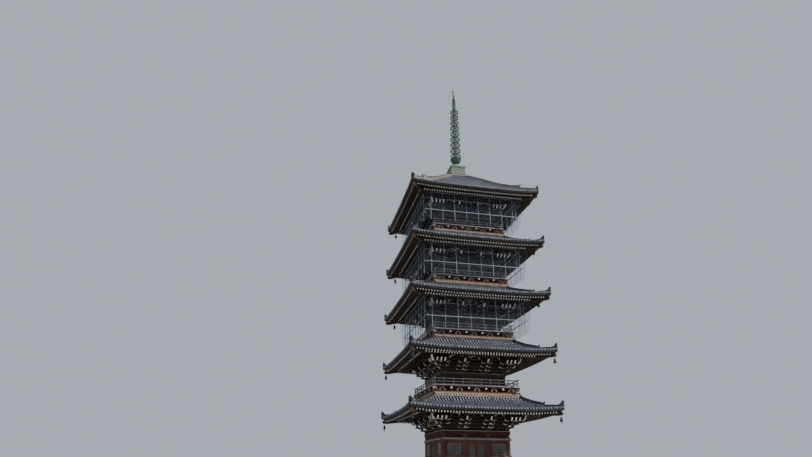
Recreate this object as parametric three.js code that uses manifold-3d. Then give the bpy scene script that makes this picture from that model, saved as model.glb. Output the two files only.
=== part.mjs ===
// Five-storey timber pagoda, a 1:2 scale model of a building about 43 m tall.
// The front faces -Y, the mast stands on the Z axis and the ground is z = 0.
// Every dimension below is full size, in metres. SCALE turns it into model millimetres.

import * as THREE from "three";
import { mergeVertices } from "three/addons/utils/BufferGeometryUtils.js";
import Module from "manifold-3d";

const wasm = await Module();
wasm.setup();

const SCALE = 0.5;
const MM = 1000 * SCALE;
const GAP = 0.4 / MM;
const DIAGONAL = Math.SQRT2;
const SIDES = [0, 1, 2, 3].map((k) => (k * Math.PI) / 2);
const FRONT = -Math.PI / 2;

// Storeys, from the ground up. All widths are half widths, measured from the axis.
const STOREYS = [
  { floor: 1.5, eave: 6.31, reach: 6.54, wall: 2.85, balcony: 0 },
  { floor: 8.56, eave: 11.1, reach: 6.5, wall: 2.8, balcony: 3.87 },
  { floor: 13.44, eave: 16.19, reach: 6.46, wall: 2.72, balcony: 3.73 },
  { floor: 18.57, eave: 21.25, reach: 6.38, wall: 2.62, balcony: 3.6 },
  { floor: 23.75, eave: 26.5, reach: 6.32, wall: 2.55, balcony: 3.56 },
];
// Where each lower roof ends against the balcony above: half width, top of the tiles there and
// top of the closing courses
const SHOULDERS = [
  { half: 3.9, low: 7.58, high: 7.92 },
  { half: 3.76, low: 12.48, high: 12.8 },
  { half: 3.63, low: 17.48, high: 17.87 },
  { half: 3.59, low: 22.72, high: 23.1 },
];
const NET_STOREYS = [3, 4, 5];

// Stone platform and steps
const PLATFORM = { half: 4.75, top: 1.3, coping: 0.18, copingOut: 0.08, foot: 0.2, footOut: 0.1 };
const STEPS = { count: 7, tread: 0.3, half: 1.25, cheek: 0.3 };

// First storey frame
const SILL = { top: 1.52, half: 0.14 };
const WALL_THICK = 0.16;
const COLUMN = { radius: 0.17, inner: 1.07 };
const WINDOW = { bottom: 3.1, top: 3.95, inset: 0.32 };
const DOOR = { head: 4.02, jamb: 0.1, thick: 0.072, clear: 0.018, hingeClear: 0.028, pin: 0.03 };
const RAIL = { low: 4.18, high: 4.42, out: 0.2, sillLow: 2.86, sillHigh: 3.04, deckHigh: 1.74 };
const HEAD_DEPTH = 1.33;
const BEAM = 0.28;

// Brackets, rafters and roofs: heights are measured up from the lower edge of the eave tiles,
// and the purlin and the tails stand out from the wall of their storey
const PURLIN = { out: 1.12, half: 0.09, low: 0.04, seatOut: 0.13, seatIn: 0.24 };
const TAIL_OUT = 1.28;
const RAFTER_END = 5.25;
const FLYING_IN = 0.28;
const FLYING_LOW = -0.24;
const FLYING_HIGH = -0.1;
const FLYING_SLOPE = 0.22;
const RAFTER_SLOPE = 0.36;
const RAFTER_DEPTH = 0.28;
const RAFTER_INNER = 2.4;
const ROOF_INNER = 3.27;
const CORNER_RISE = 0.22;
const RISE_AT_RAFTER_END = 0.15;
const RISE_AT_TIP = 0.85;
const TURNS = [-1, -0.88, -0.6, 0.6, 0.88, 1];
const RIDGE_WIDTH = 0.3;

// Balconies
const DECK = 0.12;
const BASE_SET_BACK = 0.62;
const BASE_THICK = 0.25;
const ARM = { width: 0.17, height: 0.24 };
const RAILING = { inset: 0.14, top: 0.6, bar: 0.09, post: 0.07 };

// Bird net frames hung in front of the three upper storeys
const NET = { half: 4.7, bar: 0.06, posts: [1.77, 4.13], rail: -1.93, low: -2.95 };

// Spire
const SPIRE = {
  baseHalf: 0.84,
  baseTop: 31.08,
  basinTop: 32.13,
  bowlTop: 32.7,
  lotusTop: 33.4,
  shaft: 0.12,
  rings: 9,
  ringLow: 33.72,
  ringHigh: 39.6,
  ringWide: 0.58,
  ringNarrow: 0.45,
  flameLow: 39.85,
  flameTop: 41.8,
  tip: 43,
};

const finish = (color, roughness, metalness = 0) =>
  new THREE.MeshStandardMaterial({ color, roughness, metalness });
const STONE = finish(0x8c887f, 0.9);
const TIMBER = finish(0x4a3527, 0.8);
const PALE_TIMBER = finish(0x7a6654, 0.85);
const DOOR_TIMBER = finish(0x5c3426, 0.7);
const TILE = finish(0x4b5158, 0.6);
const BRONZE = finish(0x3f4a3c, 0.5, 0.7);
const PIPE = finish(0xb9bcba, 0.4, 0.8);

const pagoda = new THREE.Group();
pagoda.name = "pagoda";

// Solids from three.js geometry, joined and cut as closed bodies

function solid(geometry) {
  const bare = geometry.index ? geometry.toNonIndexed() : geometry;
  const shape = new THREE.BufferGeometry()
    .setAttribute("position", bare.getAttribute("position"))
    .scale(MM, MM, MM);
  const merged = mergeVertices(shape, 1e-3);
  return new wasm.Manifold(
    new wasm.Mesh({
      numProp: 3,
      vertProperties: merged.attributes.position.array,
      triVerts: new Uint32Array(merged.index.array),
    }),
  );
}

function join(parts) {
  return parts.reduce((whole, part) => whole.add(part));
}

function add(name, body, material) {
  const mesh = body.getMesh();
  const geometry = new THREE.BufferGeometry();
  geometry.setAttribute("position", new THREE.BufferAttribute(mesh.vertProperties, 3));
  geometry.setIndex(new THREE.BufferAttribute(mesh.triVerts, 1));
  geometry.computeVertexNormals();
  const node = new THREE.Mesh(geometry, material);
  node.name = name;
  pagoda.add(node);
}

function box(x0, x1, y0, y1, z0, z1) {
  const geometry = new THREE.BoxGeometry(x1 - x0, y1 - y0, z1 - z0);
  geometry.translate((x0 + x1) / 2, (y0 + y1) / 2, (z0 + z1) / 2);
  return solid(geometry);
}

function square(half, z0, z1) {
  return box(-half, half, -half, half, z0, z1);
}

// A post with a round or faceted section
function post(x, y, radius, z0, z1, facets) {
  const geometry = new THREE.CylinderGeometry(radius, radius, z1 - z0, facets);
  geometry.rotateX(Math.PI / 2);
  geometry.rotateZ(Math.PI / facets);
  geometry.translate(x, y, (z0 + z1) / 2);
  return solid(geometry);
}

function lathe(profile, facets) {
  const geometry = new THREE.LatheGeometry(
    profile.map(([r, z]) => new THREE.Vector2(r, z)),
    facets,
  );
  geometry.rotateX(Math.PI / 2);
  return solid(geometry);
}

// A closed outline carried round the four sides of a square. Each point is a half width,
// a height and the share of the corner rise that it takes part in.
function ring(outline, turns = [-1, 1]) {
  const columns = [];
  for (const angle of SIDES) {
    for (const turn of turns.slice(0, -1)) {
      columns.push({ angle: angle + FRONT, turn });
    }
  }
  const positions = [];
  for (const { angle, turn } of columns) {
    for (const [r, z, share = 0] of outline) {
      const side = r * turn;
      const x = r * Math.cos(angle) - side * Math.sin(angle);
      const y = r * Math.sin(angle) + side * Math.cos(angle);
      positions.push(x, y, z + share * CORNER_RISE * Math.abs(turn) ** 3);
    }
  }
  const index = [];
  const rows = outline.length;
  for (let c = 0; c < columns.length; c++) {
    const next = (c + 1) % columns.length;
    for (let i = 0; i < rows; i++) {
      const j = (i + 1) % rows;
      const [a, b, d, e] = [c * rows + i, next * rows + i, next * rows + j, c * rows + j];
      // The same diagonal is used whichever way the outline runs, so that layers fit
      const split = outline[i][0] <= outline[j][0] ? [a, b, d, a, d, e] : [a, b, e, b, d, e];
      index.push(...split);
    }
  }
  const geometry = new THREE.BufferGeometry();
  geometry.setAttribute("position", new THREE.Float32BufferAttribute(positions, 3));
  geometry.setIndex(index);
  return solid(geometry);
}

function squareRing(inner, outer, z0, z1) {
  return ring([
    [inner, z0],
    [outer, z0],
    [outer, z1],
    [inner, z1],
  ]);
}

// A flat outline in distance from the axis and height, given a width and turned to an angle
function fin(outline, width, angle, along = 0, stretch = 1) {
  const shape = new THREE.Shape(outline.map(([r, z]) => new THREE.Vector2(r * stretch, z)));
  const geometry = new THREE.ExtrudeGeometry(shape, { depth: width, bevelEnabled: false });
  geometry.translate(0, 0, -width / 2);
  geometry.rotateX(Math.PI / 2);
  geometry.translate(0, along, 0);
  geometry.rotateZ(angle);
  return solid(geometry);
}

function onSides(outline, width, places) {
  return SIDES.flatMap((angle) => places.map((along) => fin(outline, width, angle, along)));
}

function onCorners(outline, width) {
  return SIDES.map((angle) => fin(outline, width, angle + Math.PI / 4, 0, DIAGONAL));
}

const columnLine = (storey) => (COLUMN.inner * storey.wall) / STOREYS[0].wall;

// Stone platform, steps and the first floor
function buildGround() {
  const { half, top, coping, copingOut, foot, footOut } = PLATFORM;
  const platform = join([
    square(half, 0, top),
    square(half + copingOut, top - coping, top),
    square(half + footOut, 0, foot),
  ]);
  add("platform", platform, STONE);

  const start = -(half + footOut) - GAP;
  const rise = top / STEPS.count;
  const outline = [[start, 0]];
  for (let k = 0; k < STEPS.count; k++) {
    const y = start - STEPS.tread * (STEPS.count - k);
    outline.push([y, rise * k], [y, rise * (k + 1)]);
  }
  outline.push([start, top]);
  const flipped = outline.map(([y, z]) => [-y, z]);
  const steps = fin(flipped, STEPS.half * 2, FRONT);
  const run = STEPS.tread * STEPS.count;
  const cheek = [
    [-start, 0],
    [-start + run + 0.25, 0],
    [-start + run + 0.25, rise + 0.12],
    [-start + STEPS.tread, top + 0.02],
    [-start, top + 0.02],
  ];
  const side = STEPS.half + STEPS.cheek / 2 - 0.01;
  const cheeks = [-side, side].map((x) => fin(cheek, STEPS.cheek, FRONT, x));
  add("front_steps", join([steps, ...cheeks]), STONE);

  const inner = STOREYS[0].wall - SILL.half - GAP;
  add("ground_sill", squareRing(inner + GAP, STOREYS[0].wall + SILL.half, top + GAP, SILL.top), TIMBER);
  add("floor", square(inner, top + GAP, STOREYS[0].floor), PALE_TIMBER);
}

// One bay of infill with a window cut through it, on the front side
function windowBay(x0, x1, y) {
  const low = SILL.top + GAP;
  const high = STOREYS[0].eave - HEAD_DEPTH - BEAM - GAP;
  const half = WALL_THICK / 2;
  const panel = box(x0, x1, y - half, y + half, low, high);
  const left = Math.min(x0, x1) + WINDOW.inset;
  const right = Math.max(x0, x1) - WINDOW.inset;
  return panel.subtract(box(left, right, y - 1, y + 1, WINDOW.bottom, WINDOW.top));
}

function buildFirstWalls() {
  const { wall } = STOREYS[0];
  const low = SILL.top + GAP;
  const high = STOREYS[0].eave - HEAD_DEPTH - BEAM - GAP;
  const half = WALL_THICK / 2;
  const column = (x, y) => post(x, y, COLUMN.radius, low, high, 10);
  const face = -wall - RAIL.out;
  const jambOut = COLUMN.inner - COLUMN.radius + 0.02;
  const jambIn = COLUMN.inner - COLUMN.radius - DOOR.jamb;
  const doorWide = COLUMN.inner - COLUMN.radius - DOOR.jamb;

  // A side bay of the front: corner column, window bay, door column and door jamb
  const bay = (sign) => {
    const at = (a, b, y0, y1, z0, z1) =>
      sign > 0 ? box(a, b, y0, y1, z0, z1) : box(-b, -a, y0, y1, z0, z1);
    const panel = sign > 0
      ? windowBay(COLUMN.inner, wall, -wall)
      : windowBay(-wall, -COLUMN.inner, -wall);
    return join([
      column(sign * wall, -wall),
      column(sign * COLUMN.inner, -wall),
      panel,
      at(jambIn, jambOut, -wall - half, -wall + half, low, high),
      at(jambIn, wall + RAIL.out, face, -wall, RAIL.low, RAIL.high),
      at(COLUMN.inner, wall + RAIL.out, face, -wall, RAIL.sillLow, RAIL.sillHigh),
      at(jambOut + 0.02, wall + RAIL.out, face, -wall, low, RAIL.deckHigh),
    ]);
  };
  add("front_wall_left", bay(-1), TIMBER);
  add("front_wall_right", bay(1), TIMBER);

  const over = jambIn - GAP;
  const overDoor = join([
    box(-over, over, -wall - half, -wall + half, DOOR.head, high),
    box(-over, over, face, -wall, RAIL.low, RAIL.high),
  ]);
  add("front_wall_over_door", overDoor, TIMBER);

  // The back wall carries the two back corner columns, and the side walls fit between
  const closedWall = (end, angle, withCorners) => {
    const parts = [];
    const stop = withCorners ? wall : wall - COLUMN.radius - GAP;
    const railStop = withCorners ? wall + RAIL.out : end;
    for (const sign of [-1, 1]) {
      const span = [sign * COLUMN.inner, sign * stop].sort((a, b) => a - b);
      const left = Math.min(Math.abs(span[0]), Math.abs(span[1])) + WINDOW.inset;
      const right = wall - WINDOW.inset;
      const hole = sign > 0 ? [left, right] : [-right, -left];
      parts.push(
        box(span[0], span[1], -wall - half, -wall + half, low, high).subtract(
          box(hole[0], hole[1], -wall - 1, -wall + 1, WINDOW.bottom, WINDOW.top),
        ),
      );
      parts.push(column(sign * COLUMN.inner, -wall));
      if (withCorners) parts.push(column(sign * wall, -wall));
    }
    parts.push(box(-stop, stop, -wall - half, -wall + half, DOOR.head, high));
    parts.push(box(-railStop, railStop, face, -wall, RAIL.low, RAIL.high));
    for (const sign of [-1, 1]) {
      const rail = [sign * (COLUMN.inner - 0.1), sign * railStop].sort((a, b) => a - b);
      parts.push(box(rail[0], rail[1], face, -wall, RAIL.sillLow, RAIL.sillHigh));
      parts.push(box(rail[0], rail[1], face, -wall, low, RAIL.deckHigh));
    }
    return join(parts).rotate([0, 0, (angle * 180) / Math.PI]);
  };
  const between = wall - COLUMN.radius - GAP;
  add("back_wall", closedWall(wall, Math.PI, true), TIMBER);
  add("left_wall", closedWall(between, -Math.PI / 2, false), TIMBER);
  add("right_wall", closedWall(between, Math.PI / 2, false), TIMBER);

  // Doors of the three other sides stay shut
  const shut = COLUMN.inner - COLUMN.radius - GAP;
  const pair = box(-shut, shut, -wall - DOOR.thick / 2, -wall + DOOR.thick / 2, low, DOOR.head - GAP);
  const reveal = box(-0.004, 0.004, -wall - 1, -wall - DOOR.thick / 2 + 0.02, low + 0.05, DOOR.head - 0.05);
  const closedPair = pair.subtract(reveal);
  add("back_doors", closedPair.rotate([0, 0, 180]), DOOR_TIMBER);
  add("left_doors", closedPair.rotate([0, 0, -90]), DOOR_TIMBER);
  add("right_doors", closedPair.rotate([0, 0, 90]), DOOR_TIMBER);

  // The two front leaves turn outwards on pins in the sill and the head
  const leafLow = SILL.top + DOOR.clear;
  const leafHigh = DOOR.head - DOOR.clear;
  const hinge = doorWide - DOOR.hingeClear - DOOR.thick / 2;
  for (const [name, sign] of [["front_door_left", -1], ["front_door_right", 1]]) {
    const edge = hinge + DOOR.thick / 2;
    const meet = 0.006;
    const x0 = sign > 0 ? meet : -edge;
    const x1 = sign > 0 ? edge : -meet;
    const leaf = box(x0, x1, -wall - DOOR.thick / 2, -wall + DOOR.thick / 2, leafLow, leafHigh);
    const pins = post(sign * hinge, -wall, DOOR.pin, SILL.top + GAP, DOOR.head - GAP, 8);
    add(name, leaf.add(pins), DOOR_TIMBER);
  }

  const headLow = STOREYS[0].eave - HEAD_DEPTH - BEAM;
  const headHigh = STOREYS[0].eave - HEAD_DEPTH;
  add("head_beam_1", squareRing(wall - 0.17, wall + 0.19, headLow, headHigh), TIMBER);
}

// Walls of an upper storey: a shell with columns, a head beam and shallow door panels
function buildUpperWalls(n, storey) {
  const { wall, floor, eave } = storey;
  const line = columnLine(storey);
  const low = floor + GAP;
  const high = eave - HEAD_DEPTH;
  const half = WALL_THICK / 2;
  const doorHigh = high - BEAM - 0.04;
  const inner = wall - half;
  const shell = squareRing(inner, wall + half, low, high);
  const beam = squareRing(inner, wall + 0.19, high - BEAM, high);
  const pilaster = [
    [wall, low],
    [wall + 0.14, low],
    [wall + 0.14, high - BEAM / 2],
    [wall, high - BEAM / 2],
  ];
  const corner = wall - 0.01;
  const corners = [-1, 1].flatMap((sx) =>
    [-1, 1].map((sy) => {
      const [x0, x1] = [sx * corner, sx * (wall + 0.14)].sort((a, b) => a - b);
      const [y0, y1] = [sy * corner, sy * (wall + 0.14)].sort((a, b) => a - b);
      return box(x0, x1, y0, y1, low, high - BEAM / 2);
    }),
  );
  const doors = SIDES.map((angle) => {
    const depth = [
      [wall + half - 0.05, low + 0.16],
      [wall + half + 0.5, low + 0.16],
      [wall + half + 0.5, doorHigh],
      [wall + half - 0.05, doorHigh],
    ];
    return fin(depth, 2 * (line - 0.17), angle);
  });
  const body = join([shell, beam, ...corners, ...onSides(pilaster, 0.27, [-line, line])]);
  add("walls_" + n, body.subtract(join(doors)), TIMBER);
}

// Heights of the rafter layer over a storey, which brackets and roofs are fitted to
function rafters(storey) {
  const { eave, reach } = storey;
  const tip = reach - FLYING_IN;
  const flyingUnder = (r) => eave + FLYING_LOW + FLYING_SLOPE * (tip - r);
  const flyingOver = (r) => eave + FLYING_HIGH + FLYING_SLOPE * (tip - r);
  const over = (r) => flyingOver(RAFTER_END) + RAFTER_SLOPE * (RAFTER_END - r);
  const under = (r) => over(r) - RAFTER_DEPTH;
  // The underside along the middle of a side, where the corner rise already adds a little
  const flatTurn = TURNS[3];
  const flatRise = RISE_AT_RAFTER_END * CORNER_RISE * flatTurn ** 3;
  const soffit = (r) => under(r) + (flatRise * (r - RAFTER_INNER)) / (RAFTER_END - RAFTER_INNER);
  return { tip, flyingUnder, flyingOver, over, under, soffit };
}

// Three-step brackets: a wall of beams, stepped arms at the columns and tail rafters. The arms
// are cut level under the purlin that rests on them.
function buildBrackets(n, storey) {
  const { wall, eave } = storey;
  const line = columnLine(storey);
  const { soffit } = rafters(storey);
  const head = eave - HEAD_DEPTH;
  const half = WALL_THICK / 2;
  const step = PURLIN.out / 3;
  const purlin = wall + PURLIN.out;
  const stack = squareRing(wall - half, wall + half, head + GAP, soffit(wall + half) - GAP);
  const seat = eave + PURLIN.low - GAP;
  const arm = [
    [wall, head + 0.2],
    [wall + step + 0.1, head + 0.2],
    [wall + step + 0.1, head + 0.47],
    [wall + 2 * step + 0.1, head + 0.47],
    [wall + 2 * step + 0.1, head + 0.75],
    [wall + TAIL_OUT - 0.06, eave - 0.52],
    [wall + TAIL_OUT, eave - 0.26],
    [purlin + PURLIN.seatOut, eave - 0.12],
    [purlin + PURLIN.seatOut, seat],
    [purlin - PURLIN.seatIn, seat],
    [wall, eave + 0.4],
  ];
  const body = join([stack, ...onSides(arm, 0.2, [-line, line]), ...onCorners(arm, 0.22)]);
  add("brackets_" + n, body, TIMBER);
}

// Two layers of rafters as one sloping sheet with its step, the purlin that carries them and a
// hip rafter at each corner
function buildEaves(n, storey) {
  const { wall, eave } = storey;
  const { tip, flyingUnder, flyingOver, over, under } = rafters(storey);
  const outline = [
    [RAFTER_INNER, under(RAFTER_INNER)],
    [RAFTER_END, under(RAFTER_END), RISE_AT_RAFTER_END],
    [RAFTER_END, flyingUnder(RAFTER_END), RISE_AT_RAFTER_END],
    [tip, flyingUnder(tip), RISE_AT_TIP],
    [tip, flyingOver(tip), RISE_AT_TIP],
    [RAFTER_END, flyingOver(RAFTER_END), RISE_AT_RAFTER_END],
    [ROOF_INNER, over(ROOF_INNER)],
    [RAFTER_INNER, over(RAFTER_INNER)],
  ];
  const purlinIn = wall + PURLIN.out - PURLIN.half;
  const purlinOut = wall + PURLIN.out + PURLIN.half;
  const purlinTop = under(purlinOut) + RAFTER_DEPTH / 2;
  const purlin = squareRing(purlinIn, purlinOut, eave + PURLIN.low, purlinTop);
  const hip = [
    [purlinIn, under(purlinIn) + RAFTER_DEPTH / 3],
    [purlinIn, eave + PURLIN.low + 0.06],
    [RAFTER_END, eave - 0.2],
    [tip + 0.06, eave - 0.25],
    [tip + 0.06, eave - 0.16 + CORNER_RISE],
    [RAFTER_END, eave - 0.03],
  ];
  add("eaves_" + n, join([ring(outline, TURNS), purlin, ...onCorners(hip, 0.24)]), PALE_TIMBER);
}

// Tiled roof over a storey: a concave square ring with rising corners and four hip ridges
function buildRoof(n, storey, shoulder) {
  const { eave, reach } = storey;
  const { tip, flyingOver, over } = rafters(storey);
  const under = [
    [ROOF_INNER, over(ROOF_INNER) + GAP],
    [RAFTER_END, over(RAFTER_END) + GAP, RISE_AT_RAFTER_END],
    [tip, flyingOver(tip) + GAP, RISE_AT_TIP],
  ];
  const edge = [
    [reach, eave - 0.03, 1],
    [reach, eave + 0.13, 1],
  ];
  const slope = shoulder
    ? [[5.25, 0.51, 0.25], [4.4, 0.89, 0.05], [shoulder.half, shoulder.low - eave]]
    : [[5.8, 0.38, 0.5], [5, 0.87, 0.2], [4, 1.6], [2.8, 2.56], [1.6, 3.55], [SPIRE.baseHalf, 4.2]];
  const crown = shoulder
    ? [[shoulder.half, shoulder.high], [ROOF_INNER, shoulder.high]]
    : [
        [0.5, eave + 4.2],
        [0.5, eave + 3.8],
        [1.6, eave + 3.05],
        [2.8, eave + 2.06],
        [ROOF_INNER, eave + 1.6],
      ];
  const surface = slope.map(([r, z, share]) => [r, eave + z, share]);
  const body = ring([...under, ...edge, ...surface, ...crown], TURNS);

  // The ridges step down once on their way out and turn up at their ends
  const head = shoulder && [shoulder.half - 0.1, shoulder.low - eave + 0.3];
  const crest = shoulder
    ? [head, [4.5, 1.16], [5.3, 0.84], [5.3, 0.7], [6.2, 0.6], [reach - 0.03, 0.84]]
    : [
        [SPIRE.baseHalf + 0.05, 4.46],
        [2.1, 3.52],
        [3.29, 2.5],
        [4.44, 1.74],
        [4.96, 1.57],
        [4.96, 1.32],
        [6.1, 0.74],
        [reach - 0.03, 0.93],
      ];
  const keel = shoulder
    ? [[reach - 0.03, 0.25], [5.2, 0.4], [head[0], 1.1]]
    : [[reach - 0.03, 0.25], [5, 0.7], [2.8, 2.4], [SPIRE.baseHalf + 0.05, 4]];
  const ridge = [...crest, ...keel].map(([r, z]) => [r, eave + z]).reverse();
  add("roof_" + n, join([body, ...onCorners(ridge, RIDGE_WIDTH)]), TILE);
}

// Balcony: a boarded base on the roof below with a wide foot over its shoulder, arms, the deck
// and the railing
function buildBalcony(n, storey, below, shoulder) {
  const { floor, balcony } = storey;
  const { over } = rafters(below);
  const outer = balcony - BASE_SET_BACK;
  const inner = outer - BASE_THICK;
  const deckLow = floor - DECK;
  const base = squareRing(inner, outer, over(inner) + GAP, deckLow - GAP);
  const armLow = deckLow - 1.5 * ARM.height;
  const foot = ring([
    [outer - 0.05, shoulder.high + GAP],
    [balcony, shoulder.high + GAP],
    [balcony, armLow - 0.03],
    [outer - 0.05, armLow + 0.04],
  ]);
  const arm = [
    [outer - 0.1, armLow],
    [balcony, deckLow - 0.8 * ARM.height],
    [balcony, deckLow - GAP],
    [outer - 0.1, deckLow - GAP],
  ];
  const places = [-0.6, -0.2, 0.2, 0.6].map((share) => share * balcony);
  add(
    "balcony_base_" + n,
    join([base, foot, ...onSides(arm, ARM.width, places), ...onCorners(arm, ARM.width)]),
    TIMBER,
  );
  add("balcony_deck_" + n, square(balcony - 0.04, deckLow, floor), PALE_TIMBER);

  const line = balcony - RAILING.inset;
  const halfBar = RAILING.bar / 2;
  const top = floor + RAILING.top;
  const rails = [
    squareRing(line - halfBar, line + halfBar, floor + GAP, floor + RAILING.bar),
    squareRing(line - halfBar, line + halfBar, top - RAILING.bar, top),
  ];
  const posts = [];
  for (const angle of SIDES) {
    for (const along of [-1, -1 / 3, 1 / 3]) {
      const out = [
        [line - RAILING.post / 2, floor + RAILING.bar / 2],
        [line + RAILING.post / 2, floor + RAILING.bar / 2],
        [line + RAILING.post / 2, top - RAILING.bar / 2],
        [line - RAILING.post / 2, top - RAILING.bar / 2],
      ];
      posts.push(fin(out, RAILING.post, angle, along * line));
    }
  }
  add("railing_" + n, join([...rails, ...posts]), PALE_TIMBER);
}

// Bird net frame: thin upright pipes that hang from a rail under the rafters, with a second rail
// across them
function buildNetFrame(n, storey) {
  const { eave } = storey;
  const { soffit } = rafters(storey);
  const half = NET.bar / 2;
  const high = soffit(NET.half + half) - GAP;
  const rail = eave + NET.rail;
  const bar = (z0, z1, inset) => [
    [NET.half - half + inset, z0],
    [NET.half + half - inset, z0],
    [NET.half + half - inset, z1],
    [NET.half - half + inset, z1],
  ];
  const places = NET.posts.flatMap((x) => [-x, x]);
  const topRail = Math.max(...NET.posts) * 2 + NET.bar;
  const frame = join([
    squareRing(NET.half - half, NET.half + half, rail, rail + NET.bar),
    ...onSides(bar(high - NET.bar, high, 0), topRail, [0]),
    ...onSides(bar(eave + NET.low, high - half, 0.005), NET.bar - 0.01, places),
  ]);
  add("net_frame_" + n, frame, PIPE);
}

// Spire: tile base, dew basin, bowl, lotus, nine rings on the shaft, flame and jewels
function buildSpire() {
  const { baseHalf, baseTop, basinTop, bowlTop, lotusTop, shaft, flameLow, flameTop, tip } = SPIRE;
  const roofTop = STOREYS[4].eave + 4.2;
  add("spire_base", join([
    square(baseHalf - 0.1, roofTop + GAP, baseTop),
    square(baseHalf, roofTop + 0.14, roofTop + 0.28),
  ]), TILE);
  add("dew_basin", join([
    square(0.74, baseTop + GAP, basinTop),
    square(0.8, basinTop - 0.14, basinTop),
    square(0.8, baseTop + GAP, baseTop + 0.12),
  ]), BRONZE);
  add("inverted_bowl", lathe([
    [0, basinTop + GAP],
    [0.56, basinTop + GAP],
    [0.56, basinTop + 0.12],
    [0.48, basinTop + 0.36],
    [0.3, bowlTop],
    [0, bowlTop],
  ], 12), BRONZE);
  add("lotus_cup", lathe([
    [0, bowlTop + GAP],
    [0.26, bowlTop + GAP],
    [0.54, bowlTop + 0.34],
    [0.6, lotusTop],
    [0.4, lotusTop - 0.06],
    [0, lotusTop - 0.06],
  ], 12), BRONZE);

  const rings = [post(0, 0, shaft, lotusTop - 0.06 + GAP, flameLow, 6)];
  for (let k = 0; k < SPIRE.rings; k++) {
    const share = k / (SPIRE.rings - 1);
    const r = SPIRE.ringWide + (SPIRE.ringNarrow - SPIRE.ringWide) * share;
    const z = SPIRE.ringLow + (SPIRE.ringHigh - SPIRE.ringLow) * share;
    const eye = post(0, 0, r - 0.09, z - 1, z + 1, 10);
    const hoop = post(0, 0, r, z - 0.08, z + 0.08, 10).subtract(eye);
    const spoke = box(-r + 0.04, r - 0.04, -0.03, 0.03, z - 0.05, z + 0.05);
    rings.push(hoop, k % 2 ? spoke.rotate([0, 0, 90]) : spoke);
  }
  add("ringed_shaft", join(rings), BRONZE);

  const flame = [
    [0, flameLow + GAP],
    [0.14, flameLow + GAP],
    [0.26, flameLow + 0.35],
    [0.21, flameLow + 0.6],
    [0.26, flameLow + 0.95],
    [0.19, flameLow + 1.3],
    [0.22, flameLow + 1.6],
    [0.06, flameTop],
    [0, flameTop],
  ];
  add("water_flame", join(SIDES.map((angle) => fin(flame, 0.05, angle))).add(
    post(0, 0, 0.07, flameLow + GAP, flameTop, 8),
  ), BRONZE);
  add("jewels", lathe([
    [0, flameTop + GAP],
    [0.12, flameTop + GAP],
    [0.2, flameTop + 0.12],
    [0.2, flameTop + 0.22],
    [0.08, flameTop + 0.34],
    [0.08, flameTop + 0.45],
    [0.2, flameTop + 0.62],
    [0.2, flameTop + 0.78],
    [0.1, flameTop + 1],
    [0, tip],
  ], 12), BRONZE);
}

buildGround();
buildFirstWalls();
STOREYS.forEach((storey, k) => {
  const n = k + 1;
  if (k > 0) {
    buildBalcony(n, storey, STOREYS[k - 1], SHOULDERS[k - 1]);
    buildUpperWalls(n, storey);
  }
  buildBrackets(n, storey);
  buildEaves(n, storey);
  buildRoof(n, storey, SHOULDERS[k]);
  if (NET_STOREYS.includes(n)) buildNetFrame(n, storey);
});
buildSpire();

export default pagoda;
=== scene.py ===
"""Five-storey timber pagoda: tiles, rafters, brackets, railings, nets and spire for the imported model."""

import math
import random
from functools import partial

import bpy
import numpy as np
from bpy.props import FloatProperty, FloatVectorProperty, PointerProperty
from mathutils import Matrix, Vector


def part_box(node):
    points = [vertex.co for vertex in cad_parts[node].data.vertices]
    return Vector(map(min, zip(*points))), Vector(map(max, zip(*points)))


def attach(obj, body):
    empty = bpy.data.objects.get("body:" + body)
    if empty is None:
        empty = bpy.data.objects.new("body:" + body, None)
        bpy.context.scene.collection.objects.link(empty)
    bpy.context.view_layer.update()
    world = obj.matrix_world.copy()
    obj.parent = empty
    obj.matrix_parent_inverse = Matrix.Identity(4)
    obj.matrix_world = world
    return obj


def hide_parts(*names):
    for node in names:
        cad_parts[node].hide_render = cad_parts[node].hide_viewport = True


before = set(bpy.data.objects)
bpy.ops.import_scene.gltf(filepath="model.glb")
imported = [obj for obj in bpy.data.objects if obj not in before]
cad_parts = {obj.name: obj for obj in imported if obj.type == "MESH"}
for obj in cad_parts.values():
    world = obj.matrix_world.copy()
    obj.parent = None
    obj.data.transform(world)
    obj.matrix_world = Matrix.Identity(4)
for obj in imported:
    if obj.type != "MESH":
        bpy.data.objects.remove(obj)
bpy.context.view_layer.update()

bl_info = {
    "name": "Five-storey pagoda",
    "version": (1, 0, 0),
    "blender": (4, 5, 0),
    "location": "View3D > Sidebar > Pagoda",
    "description": "Dresses the frame of a timber pagoda with tiles, joinery, nets and metalwork",
    "category": "Add Mesh",
}

# Every dimension below is full size, in metres. SCALE turns it into the model's size.
SCALE = 0.5
HOUSE = "building"

STOREYS = {
    1: {"floor": 1.5, "eave": 6.31, "reach": 6.54, "wall": 2.85, "balcony": 0},
    2: {"floor": 8.56, "eave": 11.1, "reach": 6.5, "wall": 2.8, "balcony": 3.87},
    3: {"floor": 13.44, "eave": 16.19, "reach": 6.46, "wall": 2.72, "balcony": 3.73},
    4: {"floor": 18.57, "eave": 21.25, "reach": 6.38, "wall": 2.62, "balcony": 3.6},
    5: {"floor": 23.75, "eave": 26.5, "reach": 6.32, "wall": 2.55, "balcony": 3.56},
}
# Where each lower roof ends against the balcony above: half width, top of the tiles there and
# top of the closing courses
SHOULDERS = {
    1: (3.9, 7.58, 7.92),
    2: (3.76, 12.48, 12.8),
    3: (3.63, 17.48, 17.87),
    4: (3.59, 22.72, 23.1),
}
UPPER = (2, 3, 4, 5)
NETTED = (3, 4, 5)

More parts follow.
